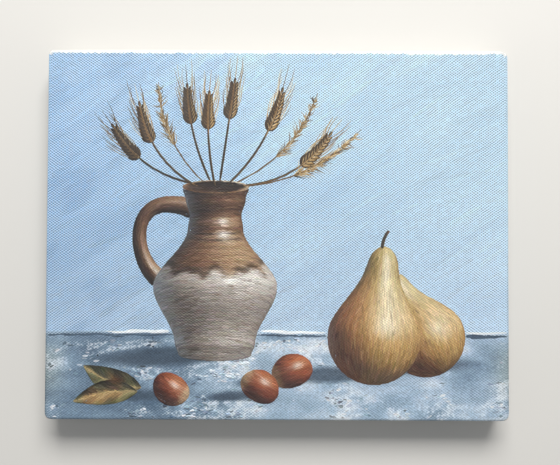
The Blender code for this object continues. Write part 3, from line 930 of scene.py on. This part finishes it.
@functools.cache
def easel():
    """The picture on a fine grid: colour, the thing at each place, the way strokes run, and outlines."""
    across, up = (np.arange(-half, half + EASEL_STEP, EASEL_STEP) for half in EASEL_HALF)
    x, y = np.meshgrid(across, up)
    low = y < LEDGE_TOP
    tone = ground(x, y)
    flow = BRUSHED_UP + 0.5 * (clouds(x / 40, y / 40, 71) - 0.5)
    near = slice(0, int(low[:, 0].sum()))
    tone[near] = ledge(x[near], y[near])
    flow[near] = 0.05 + 1.6 * (clouds(x[near] / 7, y[near] / 5, 73, 2) - 0.5)
    on_face = (np.abs(x) < STROKES_TO[0]) & (np.abs(y) < STROKES_TO[1])
    zone = np.where(on_face, np.where(low, ON_LEDGE, ON_GROUND), OFF_FACE)
    for place, (thing, sizes, (left, bottom, right, top)) in enumerate(THINGS, FIRST_THING):
        window = slice(*np.searchsorted(up, (bottom, top))), slice(*np.searchsorted(across, (left, right)))
        covers, paint, way = thing(x[window], y[window], *sizes)
        tone[window] = np.where(covers[..., None], paint, tone[window])
        zone[window] = np.where(covers, place, zone[window])
        flow[window] = np.where(covers, way, flow[window])
    reach = round(OUTLINE / EASEL_STEP)
    outward_x, outward_y = np.zeros(x.shape), np.zeros(x.shape)
    for angle in np.arange(8) * math.pi / 4:
        step_x, step_y = round(reach * math.cos(angle)), round(reach * math.sin(angle))
        other = np.roll(zone, (-step_y, -step_x), (0, 1)) != zone
        outward_x += other * math.cos(angle)
        outward_y += other * math.sin(angle)
    border = (np.hypot(outward_x, outward_y) > 0.9) & (zone >= FIRST_THING)
    flow = np.where(border, np.arctan2(outward_x, -outward_y), flow)
    return SimpleNamespace(tone=np.clip(tone, 0, 1), zone=zone, flow=flow, border=border)


def easel_at(kind, x, y):
    """One of the easel's grids at places in the picture."""
    grid = getattr(easel(), kind)
    column, row = (
        np.clip(np.rint((place + half) / EASEL_STEP).astype(int), 0, most - 1)
        for place, half, most in zip((x, y), EASEL_HALF, grid.shape[1::-1])
    )
    return grid[row, column]


def underpainting(x, y):
    """Colours that lie on the cloth itself; a thing's own colour stops short of its outline."""
    inside = np.ones(x.shape, bool)
    for step_x, step_y in ((1.6, 0), (-1.6, 0), (0, 1.6), (0, -1.6)):
        inside &= easel_at("zone", x + step_x, y + step_y) >= FIRST_THING
    behind = np.where((y < LEDGE_TOP)[..., None], ledge(x, y), ground(x, y))
    return np.where(inside[..., None], easel_at("tone", x, y) * 0.8, behind)


# ---------------------------------------------------------------- strokes of paint

FLOW_STEPS, FLOW_WANDER = 16, 0.12
SHORTEST_STROKE = 0.9


def follow_flow(starts, long, rng):
    """Runs each stroke from its start along the picture's flow until it would leave its thing."""
    count = len(starts)
    swung = rng.normal(0, FLOW_WANDER, count)
    before = rng.choice((-1.0, 1.0), count)
    route = np.empty((count, FLOW_STEPS, 2))
    route[:, 0] = starts
    home = easel_at("zone", *starts.T)
    alive = np.ones(count, bool)
    steps = np.zeros(count)
    for step in range(1, FLOW_STEPS):
        angle = easel_at("flow", *route[:, step - 1].T) + swung
        ahead = np.stack([np.cos(angle), np.sin(angle)], -1)
        # The flow has no direction of its own: the first step takes one, and the rest keep to it.
        ahead *= (before if step == 1 else np.where((ahead * before).sum(-1) < 0, -1, 1))[:, None]
        before = ahead
        route[:, step] = route[:, step - 1] + ahead * (long / (FLOW_STEPS - 1))[:, None]
        alive &= easel_at("zone", *route[:, step].T) == home
        steps += alive
    return route, steps, home


def resampled(route, steps, points):
    """Each route up to its own number of steps, as the same number of points."""
    place = np.linspace(0, 1, points)[None] * steps[:, None]
    low = np.minimum(place.astype(int), route.shape[1] - 2)
    part = (place - low)[..., None]
    row = np.arange(len(route))[:, None]
    return route[row, low] * (1 - part) + route[row, low + 1] * part


def across_of(path):
    """The way to the left of each path, at each of its points."""
    way = np.gradient(path, axis=1)
    way /= np.maximum(np.linalg.norm(way, axis=-1, keepdims=True), 1e-9)
    return np.stack([-way[..., 1], way[..., 0]], -1)


def kept_width(path, half, home):
    """How far each side of a stroke may reach before it crosses into another thing."""
    across = across_of(path)
    sides = []
    for sign in (-1, 1):
        reach, open_way = np.full(half.shape, 0.25), np.ones(half.shape, bool)
        for share in (0.5, 0.75, 1.0):
            spot = path + sign * share * half[..., None] * across
            open_way &= easel_at("zone", spot[..., 0], spot[..., 1]) == home[:, None]
            reach = np.where(open_way, share, reach)
        sides.append(reach * half)
    return sides


def bake_cells(count, points):
    """Gives each stroke a cell of its own on the map, three times as long as it is wide."""
    columns = max(math.ceil(math.sqrt(count / 3)), 1)
    rows = math.ceil(count / columns)
    number = np.arange(count)
    corner = np.stack([(number % columns) / columns, (number // columns) / rows], -1)
    along, over = np.meshgrid(np.linspace(0.06, 0.94, points), np.linspace(0.12, 0.88, 4), indexing="ij")
    inside = np.stack([along / columns, over / rows], -1)
    return (corner[:, None, None] + inside[None]).reshape(-1, 2)


def stroke_piece(name, path, left, right, tones, lift, relief, rng, material, hair=0.035):
    """One mesh of all strokes: each is a low ridge of paint whose edges run down into the cloth.

    path holds points in millimetres, left and right the reach to each side, tones the colour along it,
    lift and relief are heights in millimetres over the cloth, and hair is how much its bristles differ.
    """
    count, points, _ = path.shape
    across = across_of(path)
    offsets = np.stack([-left, -0.62 * left, 0.62 * right, right], -1)
    place = (path[:, :, None] + offsets[..., None] * across[:, :, None]) * MM
    crown = np.array([0.0, 1.0, 0.85, 0.0]) * relief[:, None, None]
    ends = np.ones(points)
    ends[[0, -1]] = 0.3
    height = (lift[:, None, None] + crown) * MM * ends[None, :, None]
    height = np.where(np.array([True, False, False, True]), -0.03 * MM, height)
    z = face_height(place[..., 0], place[..., 1]) + height
    vertices = np.concatenate([place, z[..., None]], -1).reshape(-1, 3)
    quads = grid_quads(points, 4, count)[:, ::-1]
    piece = mesh_object(name, vertices, quads, material)
    streak = 1 + hair * rng.normal(size=(count, 1, 4))
    set_points(piece, "Paint", linear(tones[:, :, None] * streak[..., None]).reshape(-1, 3))
    step = np.linalg.norm(np.diff(path, axis=1, prepend=path[:, :1]), axis=-1).cumsum(1)
    own = np.stack(np.broadcast_arrays(step[..., None], offsets), -1) * MM
    own = own + rng.uniform(0, 1, (count, 1, 1, 2)) * (3.0, 1.0)
    set_uv(piece, "OFBake", bake_cells(count, points)[quads])
    set_uv(piece, "Thread", vertices[quads][..., :2])
    set_uv(piece, "Stroke", own.reshape(-1, 2)[quads])
    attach(piece, "root")
    return piece


def brushed(name, material, starts, seed, *, long, wide, lift, relief, points, follow, jitter, white=(0, 0)):
    """Strokes that take the picture's colours, from starts in a random order, the later ones on top.

    follow is how far a stroke's colour changes along it with the picture, jitter how far one stroke's
    colour strays from the next, and white how far strokes are lightened, or darkened where it is minus.
    """
    rng = np.random.default_rng(seed)
    starts = starts[rng.permutation(len(starts))]
    lengths = rng.uniform(*long, len(starts))
    route, steps, home = follow_flow(starts, lengths, rng)
    keep = steps * lengths / (FLOW_STEPS - 1) > SHORTEST_STROKE
    route, steps, home = route[keep], steps[keep], home[keep]
    count = len(route)
    path = resampled(route, steps, points)
    part = np.linspace(0, 1, points)
    # A stroke opens out over its first eighth and thins towards its tip.
    taper = np.clip(part / 0.12, 0.35, 1) ** 0.6 * (1 - part**4 * 0.72)
    half = rng.uniform(*wide, count)[:, None] / 2 * taper[None]
    left, right = kept_width(path, half, home)
    tone = easel_at("tone", path[..., 0], path[..., 1])
    tones = mixed(tone.mean(1, keepdims=True), tone, np.full(tone.shape[:2], follow))
    tones = tones + jitter * rng.normal(size=(count, 1, 1)) + 0.25 * jitter * rng.normal(size=(count, 1, 3))
    whiter = rng.uniform(*white, (count, 1, 1))
    tones = tones + whiter * np.where(whiter > 0, 0.95 - tones, tones)
    lifts = np.linspace(*lift, count)
    ridges = rng.uniform(*relief, count)
    return stroke_piece(name, path, left, right, tones, lifts, ridges, rng, material, 0.02 + jitter)


def scattered(spacing, seed, inside, window=(-126, -100, 126, 100)):
    """Jittered starts, spacing apart along and up, that lie where inside says."""
    rng = np.random.default_rng(seed)
    left, bottom, right, top = window
    x, y = np.meshgrid(np.arange(left, right, spacing[0]), np.arange(bottom, top, spacing[1]))
    spots = np.stack([x.ravel(), y.ravel()], -1) + rng.uniform(-0.6, 0.6, (x.size, 2)) * spacing
    spots = np.clip(spots, (left, bottom), (right, top))
    return spots[inside(easel_at("zone", *spots.T), spots)]


class Sketch:
    """Strokes drawn one by one on the picture, the later ones on top."""

    POINTS = 8

    def __init__(self, seed):
        self.rng = np.random.default_rng(seed)
        self.strokes = []

    def stroke(self, path, swell, wide, tone):
        self.strokes.append((path, wide / 2 * swell, np.clip(tone + 0.02 * self.rng.normal(), 0, 1)))

    def line(self, route, wide, tone, taper):
        """A stroke along a route of any number of points, its tip narrower by taper."""
        route = np.asarray(route, float)
        gone = np.concatenate([[0], np.linalg.norm(np.diff(route, axis=0), axis=1).cumsum()])
        at = np.linspace(0, gone[-1], self.POINTS)
        path = np.stack([np.interp(at, gone, route[:, i]) for i in (0, 1)], -1)
        part = np.linspace(0, 1, self.POINTS)
        self.stroke(path, np.clip(0.4 + part / 0.2, 0, 1) * (1 - taper * part**2), wide, tone)

    def petal(self, start, angle, long, wide, tone):
        """A stroke that swells in its middle, as for a grain or a husk."""
        part = np.linspace(0, 1, self.POINTS)
        path = np.asarray(start) + heading(angle) * (part * long)[:, None]
        self.stroke(path, np.sin(math.pi * (0.08 + 0.88 * part)) ** 0.8, wide, tone)

    def piece(self, name, lift, relief, material):
        path, half, tones = (np.array(part) for part in zip(*self.strokes))
        tones = np.repeat(tones[:, None], self.POINTS, 1)
        lifts, reliefs = np.linspace(*lift, len(path)), np.full(len(path), relief)
        return stroke_piece(name, path, half, half, tones, lifts, reliefs, self.rng, material)


def heading(angle):
    return np.array([math.cos(angle), math.sin(angle)])


def curved(start, end, bow, points=12):
    """A route from start to end, bowed to its left by bow."""
    start, end = np.array(start, float), np.array(end, float)
    part = np.linspace(0, 1, points)[:, None]
    left = np.array([-(end - start)[1], (end - start)[0]]) / max(np.linalg.norm(end - start), 1e-6)
    return start + (end - start) * part + left * bow * 4 * part * (1 - part)


def draw_wheat(sketch, root, tip, bow, shade):
    """A dry stem with an ear of two rows of husks and long awns, lit from the upper right."""
    rng = sketch.rng
    colours = WHEAT * shade
    stem = curved(root, tip, bow, 24)
    cut, rows = 15, 11
    sketch.line(stem[: cut + 2], 1.4, colours[0], 0.2)
    sketch.line(stem[: cut + 2] + (0.25, 0.1), 0.7, colours[2], 0.2)
    ear = stem[cut:]
    way = np.gradient(ear, axis=0)
    sketch.line(ear[:-2], 2.0, colours[0], 0.7)
    for row in range(rows):
        number = row / (rows - 1) * (len(ear) - 1)
        low = min(int(number), len(ear) - 2)
        spot = ear[low] + (ear[low + 1] - ear[low]) * (number - low)
        angle = math.atan2(way[low, 1], way[low, 0])
        grow = 1 - 0.45 * row / rows
        for side in (-1, 1) if row < rows - 1 else (0,):
            out = angle + side * (rng.uniform(0.50, 0.66) * grow + 0.05)
            bright = int(heading(out) @ LIGHT[:2] > 0.45)
            base = spot + side * 0.35 * np.array([-math.sin(angle), math.cos(angle)])
            awn = base + 4.5 * grow * heading(out)
            lean = angle + side * rng.uniform(0.05, 0.24) + 0.04 * rng.normal()
            end = awn + rng.uniform(9, 16) * heading(lean)
            sketch.line(curved(awn, end, side * 0.8, 6), 0.4, colours[rng.integers(1, 5)], 0.6)
            for shift, swing, long, wide, tone in (
                ((0, 0), 0, 6.0, 2.9 * grow, 0),
                ((0.25, 0.2), 0, 5.4, 2.0 * grow, 1 + bright),
                ((0.5, 0.4), 0.06, 4.4, 1.0 * grow, 2 + bright),
            ):
                sketch.petal(base + shift, out + swing, long * grow, wide, colours[tone])
            if bright and rng.uniform() < 0.6:
                sketch.petal(base + (0.8, 0.7), out + 0.05, 2.6 * grow, 0.5, colours[4])
        sketch.petal(spot, angle, 4.2 * grow, 2.2 * grow, colours[1])
        sketch.petal(spot + (0.25, 0.2), angle, 3.4 * grow, 1.1 * grow, colours[3])


def draw_plume(sketch, root, tip, bow, shade):
    """A feathery grass head: fine hairs that leave a thin stem and droop to one side."""
    rng = sketch.rng
    first, last = 13, 29
    stem = curved(root, tip, bow, last + 1)
    sketch.line(stem, 0.9, WHEAT[1] * shade, 0.6)
    for _ in range(150):
        place = first + int(rng.uniform(0, 1) ** 0.9 * 15)
        angle = math.atan2(*(stem[min(place + 1, last)] - stem[place - 1])[::-1])
        out = angle + rng.normal(0, 0.42)
        long = rng.uniform(4, 9) * (1.1 - (place - first) / 26)
        end = stem[place] + long * heading(out) - (0, 0.9)
        tone = WHEAT[rng.choice([0, 1, 2, 3, 4], p=[0.12, 0.2, 0.28, 0.25, 0.15])]
        hair = curved(stem[place], end, rng.normal(0, 0.5), 5)
        sketch.line(hair, rng.uniform(0.35, 0.7), tone * shade, 0.8)


# ---------------------------------------------------------------- operators


def bare_margin(points, at, over):
    """How far past the paint's edge each point lies.

    The paint ends in a ragged line low on the sides, and thins out just short of the top edge and corners.
    The bare gesso line so left along the top also stands in for the highlight on that edge, which faces the
    window.
    """
    sizes = cloth_sizes()
    half_x, half_y = half_sizes()
    x, y = points[:, :2].T / MM
    on_top = smooth(-3.2 * MM, -1.6 * MM, (points[:, 1] - half_y) - (np.abs(points[:, 0]) - half_x))
    ragged = 7 * MM * (clouds(x / 23 + y / 19, x / 41, 81, 3) - 0.5)
    # The paint stops further short of the top edge towards the right, so the white gesso line widens there:
    # partly bare gesso, partly a painted highlight on the edge that faces the window.
    thin = 0.5 * MM * (clouds(x / 13, y / 13, 82, 2) - 0.5) - 0.3 * MM * smooth(0, 127, x)
    reach = (sizes.painted_side + ragged) * (1 - on_top) + (sizes.painted_top + thin) * on_top
    inside = (flat_half() - np.abs(at)).min(-1)
    return (over - inside - reach) * (1 - 0.45 * on_top)


def finish_cloth(piece, points, over, threads, bake_map):
    """Lays the picture's ground colours on cloth whose points lie way over the face's edge."""
    at = np.clip(points[:, :2], -flat_half(), flat_half())
    x, y = at.T / MM
    set_points(piece, "Paint", linear(underpainting(x, y)))
    set_points(piece, "Scumble", scumble(x, y) * (easel_at("zone", x, y) < FIRST_THING))
    # Paint fills the weave round the sides, in patches on the ledge, and a little low in the ground; there
    # the painted shade in the weave's hollows and the painted highlight on its crowns are weaker.
    ledge_fill = smooth(LEDGE_TOP, LEDGE_TOP - 2, y) * (0.50 + 0.65 * clouds(x / 16, y / 10, 39, 2))
    filled = np.maximum.reduce([smooth(0, 2.5 * MM, over), ledge_fill, 0.3 * smooth(20, -50, y)])
    set_points(piece, "Filled", np.clip(filled, 0, 1))
    set_points(piece, "Bare", bare_margin(points, at, over))
    set_uv(piece, "Thread", threads)
    set_uv(piece, "OFBake", bake_map)
    piece.data.shade_smooth()
    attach(piece, "root")


class CANVAS_OT_cloth(bpy.types.Operator):
    """Wraps the primed cotton over the bars, with a pleat and a folded pad at each corner"""

    bl_idname = "canvas.cloth"
    bl_label = "Cloth"

    def execute(self, context):
        points, quads, threads, ways, skins = cloth_points()
        cloth = mesh_object("canvas_cloth", points, quads, painted_cloth(), raw_cotton())
        cloth.data.polygons.foreach_set("material_index", skins.astype(np.int32))
        finish_cloth(cloth, points, ways, threads, sheet_map(threads, skins))
        folds = []
        for name, corner in CORNERS.items():
            folds += [self.pleat(f"pleat_{name}", corner), self.pad(f"pad_{name}", corner)]
        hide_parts("canvas")
        return {"FINISHED"}

    def pleat(self, name, corner):
        local = pleat_points(corner)
        way = local[..., 1]
        on_side = corner[0] == corner[1]
        flat = np.stack([local[..., 0], flat_half().max() + way], -1)
        flat = (flat[..., ::-1] if on_side else flat).reshape(-1, 2)
        outward = (corner[0], 0, 0) if on_side else (0, corner[1], 0)
        return self.fold(name, on_corner(corner, *np.moveaxis(local, -1, 0)), flat, way.ravel(), outward)

    def pad(self, name, corner):
        grid = pad_points(corner)
        over = np.full(grid[..., 0].size, 30 * MM)
        return self.fold(name, grid, grid[..., :2].reshape(-1, 2), over, (0, 0, -1))

    def fold(self, name, grid, flat, over, outward):
        points = grid.reshape(-1, 3)
        quads = facing_out(points, grid_quads(*grid.shape[:2]), outward)
        piece = mesh_object(name, points, quads, painted_cloth())
        low, high = flat.min(0), flat.max(0)
        finish_cloth(piece, points, over, flat[quads], 0.02 + 0.96 * ((flat - low) / (high - low))[quads])
        return piece


def from_node(name, node, material, edge):
    """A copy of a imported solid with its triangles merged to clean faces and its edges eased."""
    piece = bpy.data.objects.new(name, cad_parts[node].data.copy())
    bpy.context.scene.collection.objects.link(piece)
    bpy.ops.object.select_all(action="DESELECT")
    piece.select_set(True)
    bpy.context.view_layer.objects.active = piece
    bpy.ops.object.mode_set(mode="EDIT")
    bpy.ops.mesh.select_all(action="SELECT")
    bpy.ops.mesh.remove_doubles(threshold=0.005 * MM)
    bpy.ops.mesh.dissolve_limited(angle_limit=math.radians(0.5))
    bpy.ops.object.mode_set(mode="OBJECT")
    eased = piece.modifiers.new("eased edges", "BEVEL")
    eased.width = edge
    eased.segments = 2
    eased.limit_method = "ANGLE"
    eased.angle_limit = math.radians(25)
    bpy.ops.object.modifier_apply(modifier=eased.name)
    bpy.ops.object.shade_smooth_by_angle(angle=math.radians(35))
    piece.data.materials.clear()
    piece.data.materials.append(material)
    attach(piece, "root")
    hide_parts(node)


class CANVAS_OT_bars(bpy.types.Operator):
    """Finishes the four pine stretcher bars, with the grain along each"""

    bl_idname = "canvas.bars"
    bl_label = "Stretcher bars"

    def execute(self, context):
        colours = context.scene.canvas_colours
        for bar, sides, grain in (("rail", ("top", "bottom"), 0), ("stile", ("left", "right"), math.pi / 2)):
            wood = (colours.pine, colours.pine_ring, grain, 2.6 * MM, 0.05 * MM)
            wood = planed_wood(f"planed_pine_{bar}", *wood)
            for side in sides:
                from_node(f"{bar}_{side}", f"bar_{side}", wood, 0.3 * MM)
        return {"FINISHED"}


class CANVAS_OT_keys(bpy.types.Operator):
    """Finishes the eight wedge keys in the inner corners"""

    bl_idname = "canvas.keys"
    bl_label = "Wedge keys"

    def execute(self, context):
        dark, light = two_shades(context.scene.canvas_colours.key_wood, 0.72)
        for way, grain in (("side", math.pi / 2), ("end", 0)):
            wood = planed_wood(f"sawn_beech_{way}", light, dark, grain, 1.1 * MM, 0.04 * MM)
            for corner in CORNERS:
                from_node(f"wedge_{corner}_{way}", f"key_{corner}_{way}", wood, 0.2 * MM)
        return {"FINISHED"}


class CANVAS_OT_staples(bpy.types.Operator):
    """Finishes the wire staples that hold the flaps to the bars"""

    bl_idname = "canvas.staples"
    bl_label = "Staples"

    def execute(self, context):
        wire = galvanised_wire()
        for node in sorted(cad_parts):
            if node.startswith("staple_"):
                from_node(f"wire_{node}", node, wire, 0.12 * MM)
        return {"FINISHED"}


class CANVAS_OT_ground_paint(bpy.types.Operator):
    """Brushes the blue ground in long thin ridges and the grey ledge in short thick dabs"""

    bl_idname = "canvas.ground_paint"
    bl_label = "Ground and ledge paint"

    def execute(self, context):
        ground = brushed(
            "paint_ground", painted_cloth(),
            scattered((15, 9), 11, lambda zone, spots: zone == ON_GROUND), 12,
            long=(14, 40), wide=(1.2, 4.5), lift=(0.004, 0.015), relief=(0.01, 0.03),
            points=9, follow=0.9, jitter=0.006,
        )
        set_points(ground, "Bare", np.full(len(ground.data.vertices), -1.0))
        brushed(
            "paint_ledge", oil_strokes(), self.specks(), 14,
            long=(0.9, 3.4), wide=(0.5, 1.5), lift=(0.03, 0.12), relief=(0.08, 0.32),
            points=5, follow=0.2, jitter=0.05, white=(-0.45, 0.95),
        )
        return {"FINISHED"}

    def specks(self):
        """Starts of the raised specks, in small clusters where the white is dragged over the ledge."""
        rng = np.random.default_rng(15)

        def loaded(zone, spots):
            x, y = spots.T
            thick = scumble(x, y) * smooth(0.46, 0.68, clouds(x / 6, y / 4, 37, 2))
            return (zone == ON_LEDGE) & (rng.uniform(0.0, 0.55, len(spots)) < thick)

        return scattered((1.5, 1.1), 13, loaded, (-125, -100, 125, LEDGE_TOP - 2))


class CANVAS_OT_first_paint(bpy.types.Operator):
    """Lays in the jug, fruit and leaves with broad strokes that follow their forms"""

    bl_idname = "canvas.first_paint"
    bl_label = "First strokes"

    def execute(self, context):
        brushed(
            "paint_first", oil_strokes(),
            scattered((1.9, 1.25), 21, lambda zone, spots: zone >= FIRST_THING), 22,
            long=(4, 9), wide=(1.3, 2.2), lift=(0.03, 0.10), relief=(0.02, 0.06),
            points=6, follow=0.35, jitter=0.03,
        )
        return {"FINISHED"}


class CANVAS_OT_fine_paint(bpy.types.Operator):
    """Draws the forms with fine strokes, laid closer along every outline"""

    bl_idname = "canvas.fine_paint"
    bl_label = "Fine strokes"

    def execute(self, context):
        brushed(
            "paint_fine", oil_strokes(),
            scattered((1.45, 0.9), 31, lambda zone, spots: zone >= FIRST_THING), 33,
            long=(4, 11), wide=(0.55, 1.15), lift=(0.10, 0.16), relief=(0.03, 0.07),
            points=5, follow=0.5, jitter=0.04,
        )
        brushed(
            "paint_outline", oil_strokes(),
            scattered((0.8, 0.8), 32, lambda zone, spots: easel_at("border", *spots.T)), 34,
            long=(2.5, 6), wide=(0.5, 0.9), lift=(0.13, 0.18), relief=(0.02, 0.05),
            points=5, follow=0.7, jitter=0.03,
        )
        return {"FINISHED"}


class CANVAS_OT_line_paint(bpy.types.Operator):
    """Draws the ledge's edge, the dried wheat and grasses in the jug, and the stalks of the fruit"""

    bl_idname = "canvas.line_paint"
    bl_label = "Drawn strokes"

    def execute(self, context):
        edge = Sketch(41)
        self.ledge_edge(edge)
        edge.piece("paint_ledge_edge", (0.02, 0.05), 0.05, oil_strokes())
        bunch = Sketch(42)
        mouth = np.array([JUG_FOOT[0], JUG_FOOT[1] + JUG_HEIGHT])
        for draw, root, tip, bow, shade in (
            (draw_plume, (3, -1), (22, 78), -9, 0.86),
            (draw_plume, (-4, 0), (-66, 84), 7, 0.8),
            (draw_plume, (6, 0), (46, 58), -9, 0.95),
            (draw_wheat, (-7, 1), (-90, 58), 7, 0.72),
            (draw_wheat, (-2, 1), (-50, 80), 3, 0.82),
            (draw_wheat, (2, 1.5), (-24, 83), 0, 0.86),
            (draw_wheat, (9, 0.5), (28, 54), -8, 0.94),
            (draw_wheat, (-8, -1), (-76, 70), 7, 0.9),
            (draw_wheat, (4, -1), (2, 78), -5, 1.0),
            (draw_wheat, (0, -1.5), (-38, 76), 2, 1.0),
        ):
            draw(bunch, mouth + root, tip, bow, shade)
        for shift, wide, tone in ((0, 1.9, PEAR[0]), (0.3, 1.1, BLUSH[1]), (0.6, 0.5, PEAR[2])):
            bunch.line(curved((57.5 + shift, -8.5), (61 + shift, 2), 1.0), wide, tone, 0.1)
        bunch.piece("paint_grasses", (0.10, 0.22), 0.05, oil_strokes())
        return {"FINISHED"}

    def ledge_edge(self, sketch):
        """A white band on the ledge's far edge, broad at the left, over a dark one, broad at the right."""
        rng = sketch.rng
        dark, light = srgb("45586a", "f1f6f8")
        for number, left in enumerate(np.repeat(np.arange(-125.5, 123, 2.2), 3)):
            far = LEDGE_TOP + 0.9 * (cloud(left / 9, 0.0, 43) - 0.5)
            if number % 3:
                broad = smooth(20, 60, left) * smooth(126, 112, left)
                wide = mixed(0.6, 1.9, broad) * rng.uniform(0.6, 1.25)
                y, tone = far - 1.0 - rng.uniform(0, 0.8), dark * rng.uniform(0.85, 1.2)
                first_try = rng.uniform(4, 8)
            else:
                wide = mixed(1.5, 1.0, smooth(0, 50, left)) * smooth(-102, -84, left)
                wide = wide * rng.uniform(0.5, 1.15)
                y, tone = far + 0.5 + rng.uniform(-0.2, 0.3), light
                first_try = rng.uniform(8, 14)
            for long in (first_try, 2.5):
                route = curved((left, y), (min(left + long, 125.5), y), rng.normal(0, 0.12))
                if wide > 0.25 and (easel_at("zone", *route.T) < FIRST_THING).all():
                    sketch.line(route, wide, tone, 0.5)
                    break


FLOOR_WIDE = 6.0
WINDOW_AT, WINDOW_WIDE, WINDOW_HIGH = (0.12, 0.92, 0.88), 0.85, 0.51
SENSOR_WIDE = 36


class CANVAS_OT_stage(bpy.types.Operator):
    """Sets the pale floor, the soft window light and the camera over the picture"""

    bl_idname = "canvas.stage"
    bl_label = "Stage"

    def execute(self, context):
        scene = context.scene
        settings = scene.canvas_stage
        bpy.ops.object.select_all(action="DESELECT")
        bpy.ops.mesh.primitive_plane_add(size=FLOOR_WIDE, location=(0, 0, 0))
        floor = context.active_object
        floor.name = "studio_floor"
        floor.data.materials.append(pale_floor())
        bpy.ops.object.light_add(type="AREA", location=WINDOW_AT)
        light = context.active_object
        light.name = "window"
        light.data.shape = "RECTANGLE"
        light.data.size, light.data.size_y = WINDOW_WIDE, WINDOW_HIGH
        light.data.energy = settings.window_watts
        light.rotation_euler = (-Vector(WINDOW_AT)).to_track_quat("-Z", "Y").to_euler()
        scene.world = bpy.data.worlds.new("room")
        scene.world.use_nodes = True
        room = {"Color": (0.93, 0.96, 1.0), "Strength": settings.world_strength}
        fill(scene.world.node_tree.nodes["Background"], room)
        lens = bpy.data.cameras.new("camera")
        lens.sensor_width = SENSOR_WIDE
        lens.angle = settings.field
        camera = bpy.data.objects.new("camera", lens)
        scene.collection.objects.link(camera)
        camera.location = (settings.camera_x, -settings.camera_down, settings.camera_height)
        camera.rotation_euler = (settings.tilt, settings.lean, settings.roll)
        scene.camera = camera
        scene.view_settings.view_transform = "Standard"
        return {"FINISHED"}


class CANVAS_PT_panel(bpy.types.Panel):
    bl_idname = "CANVAS_PT_panel"
    bl_label = "Stretched canvas painting"
    bl_space_type = "VIEW_3D"
    bl_region_type = "UI"
    bl_category = "Canvas"

    def draw(self, context):
        for name in GROUPS:
            group, box = getattr(context.scene, name), self.layout.box()
            for field in group.__annotations__:
                box.prop(group, field)
        for operator in OPERATORS:
            self.layout.operator(operator.bl_idname)


GROUPS = {"canvas_cloth": ClothSizes, "canvas_colours": CanvasColours, "canvas_stage": StageSettings}
OPERATORS = (
    CANVAS_OT_stage,
    CANVAS_OT_bars,
    CANVAS_OT_keys,
    CANVAS_OT_staples,
    CANVAS_OT_cloth,
    CANVAS_OT_ground_paint,
    CANVAS_OT_first_paint,
    CANVAS_OT_fine_paint,
    CANVAS_OT_line_paint,
)


def register():
    for name, group in GROUPS.items():
        bpy.utils.register_class(group)
        setattr(bpy.types.Scene, name, bpy.props.PointerProperty(type=group))
    for made in (*OPERATORS, CANVAS_PT_panel):
        bpy.utils.register_class(made)


def unregister():
    for made in (CANVAS_PT_panel, *reversed(OPERATORS)):
        bpy.utils.unregister_class(made)
    for name, group in GROUPS.items():
        delattr(bpy.types.Scene, name)
        bpy.utils.unregister_class(group)


def main():
    register()
    for operator in OPERATORS:
        group, name = operator.bl_idname.split(".")
        getattr(getattr(bpy.ops, group), name)()
    bpy.context.view_layer.update()


if __name__ == "__main__":
    main()
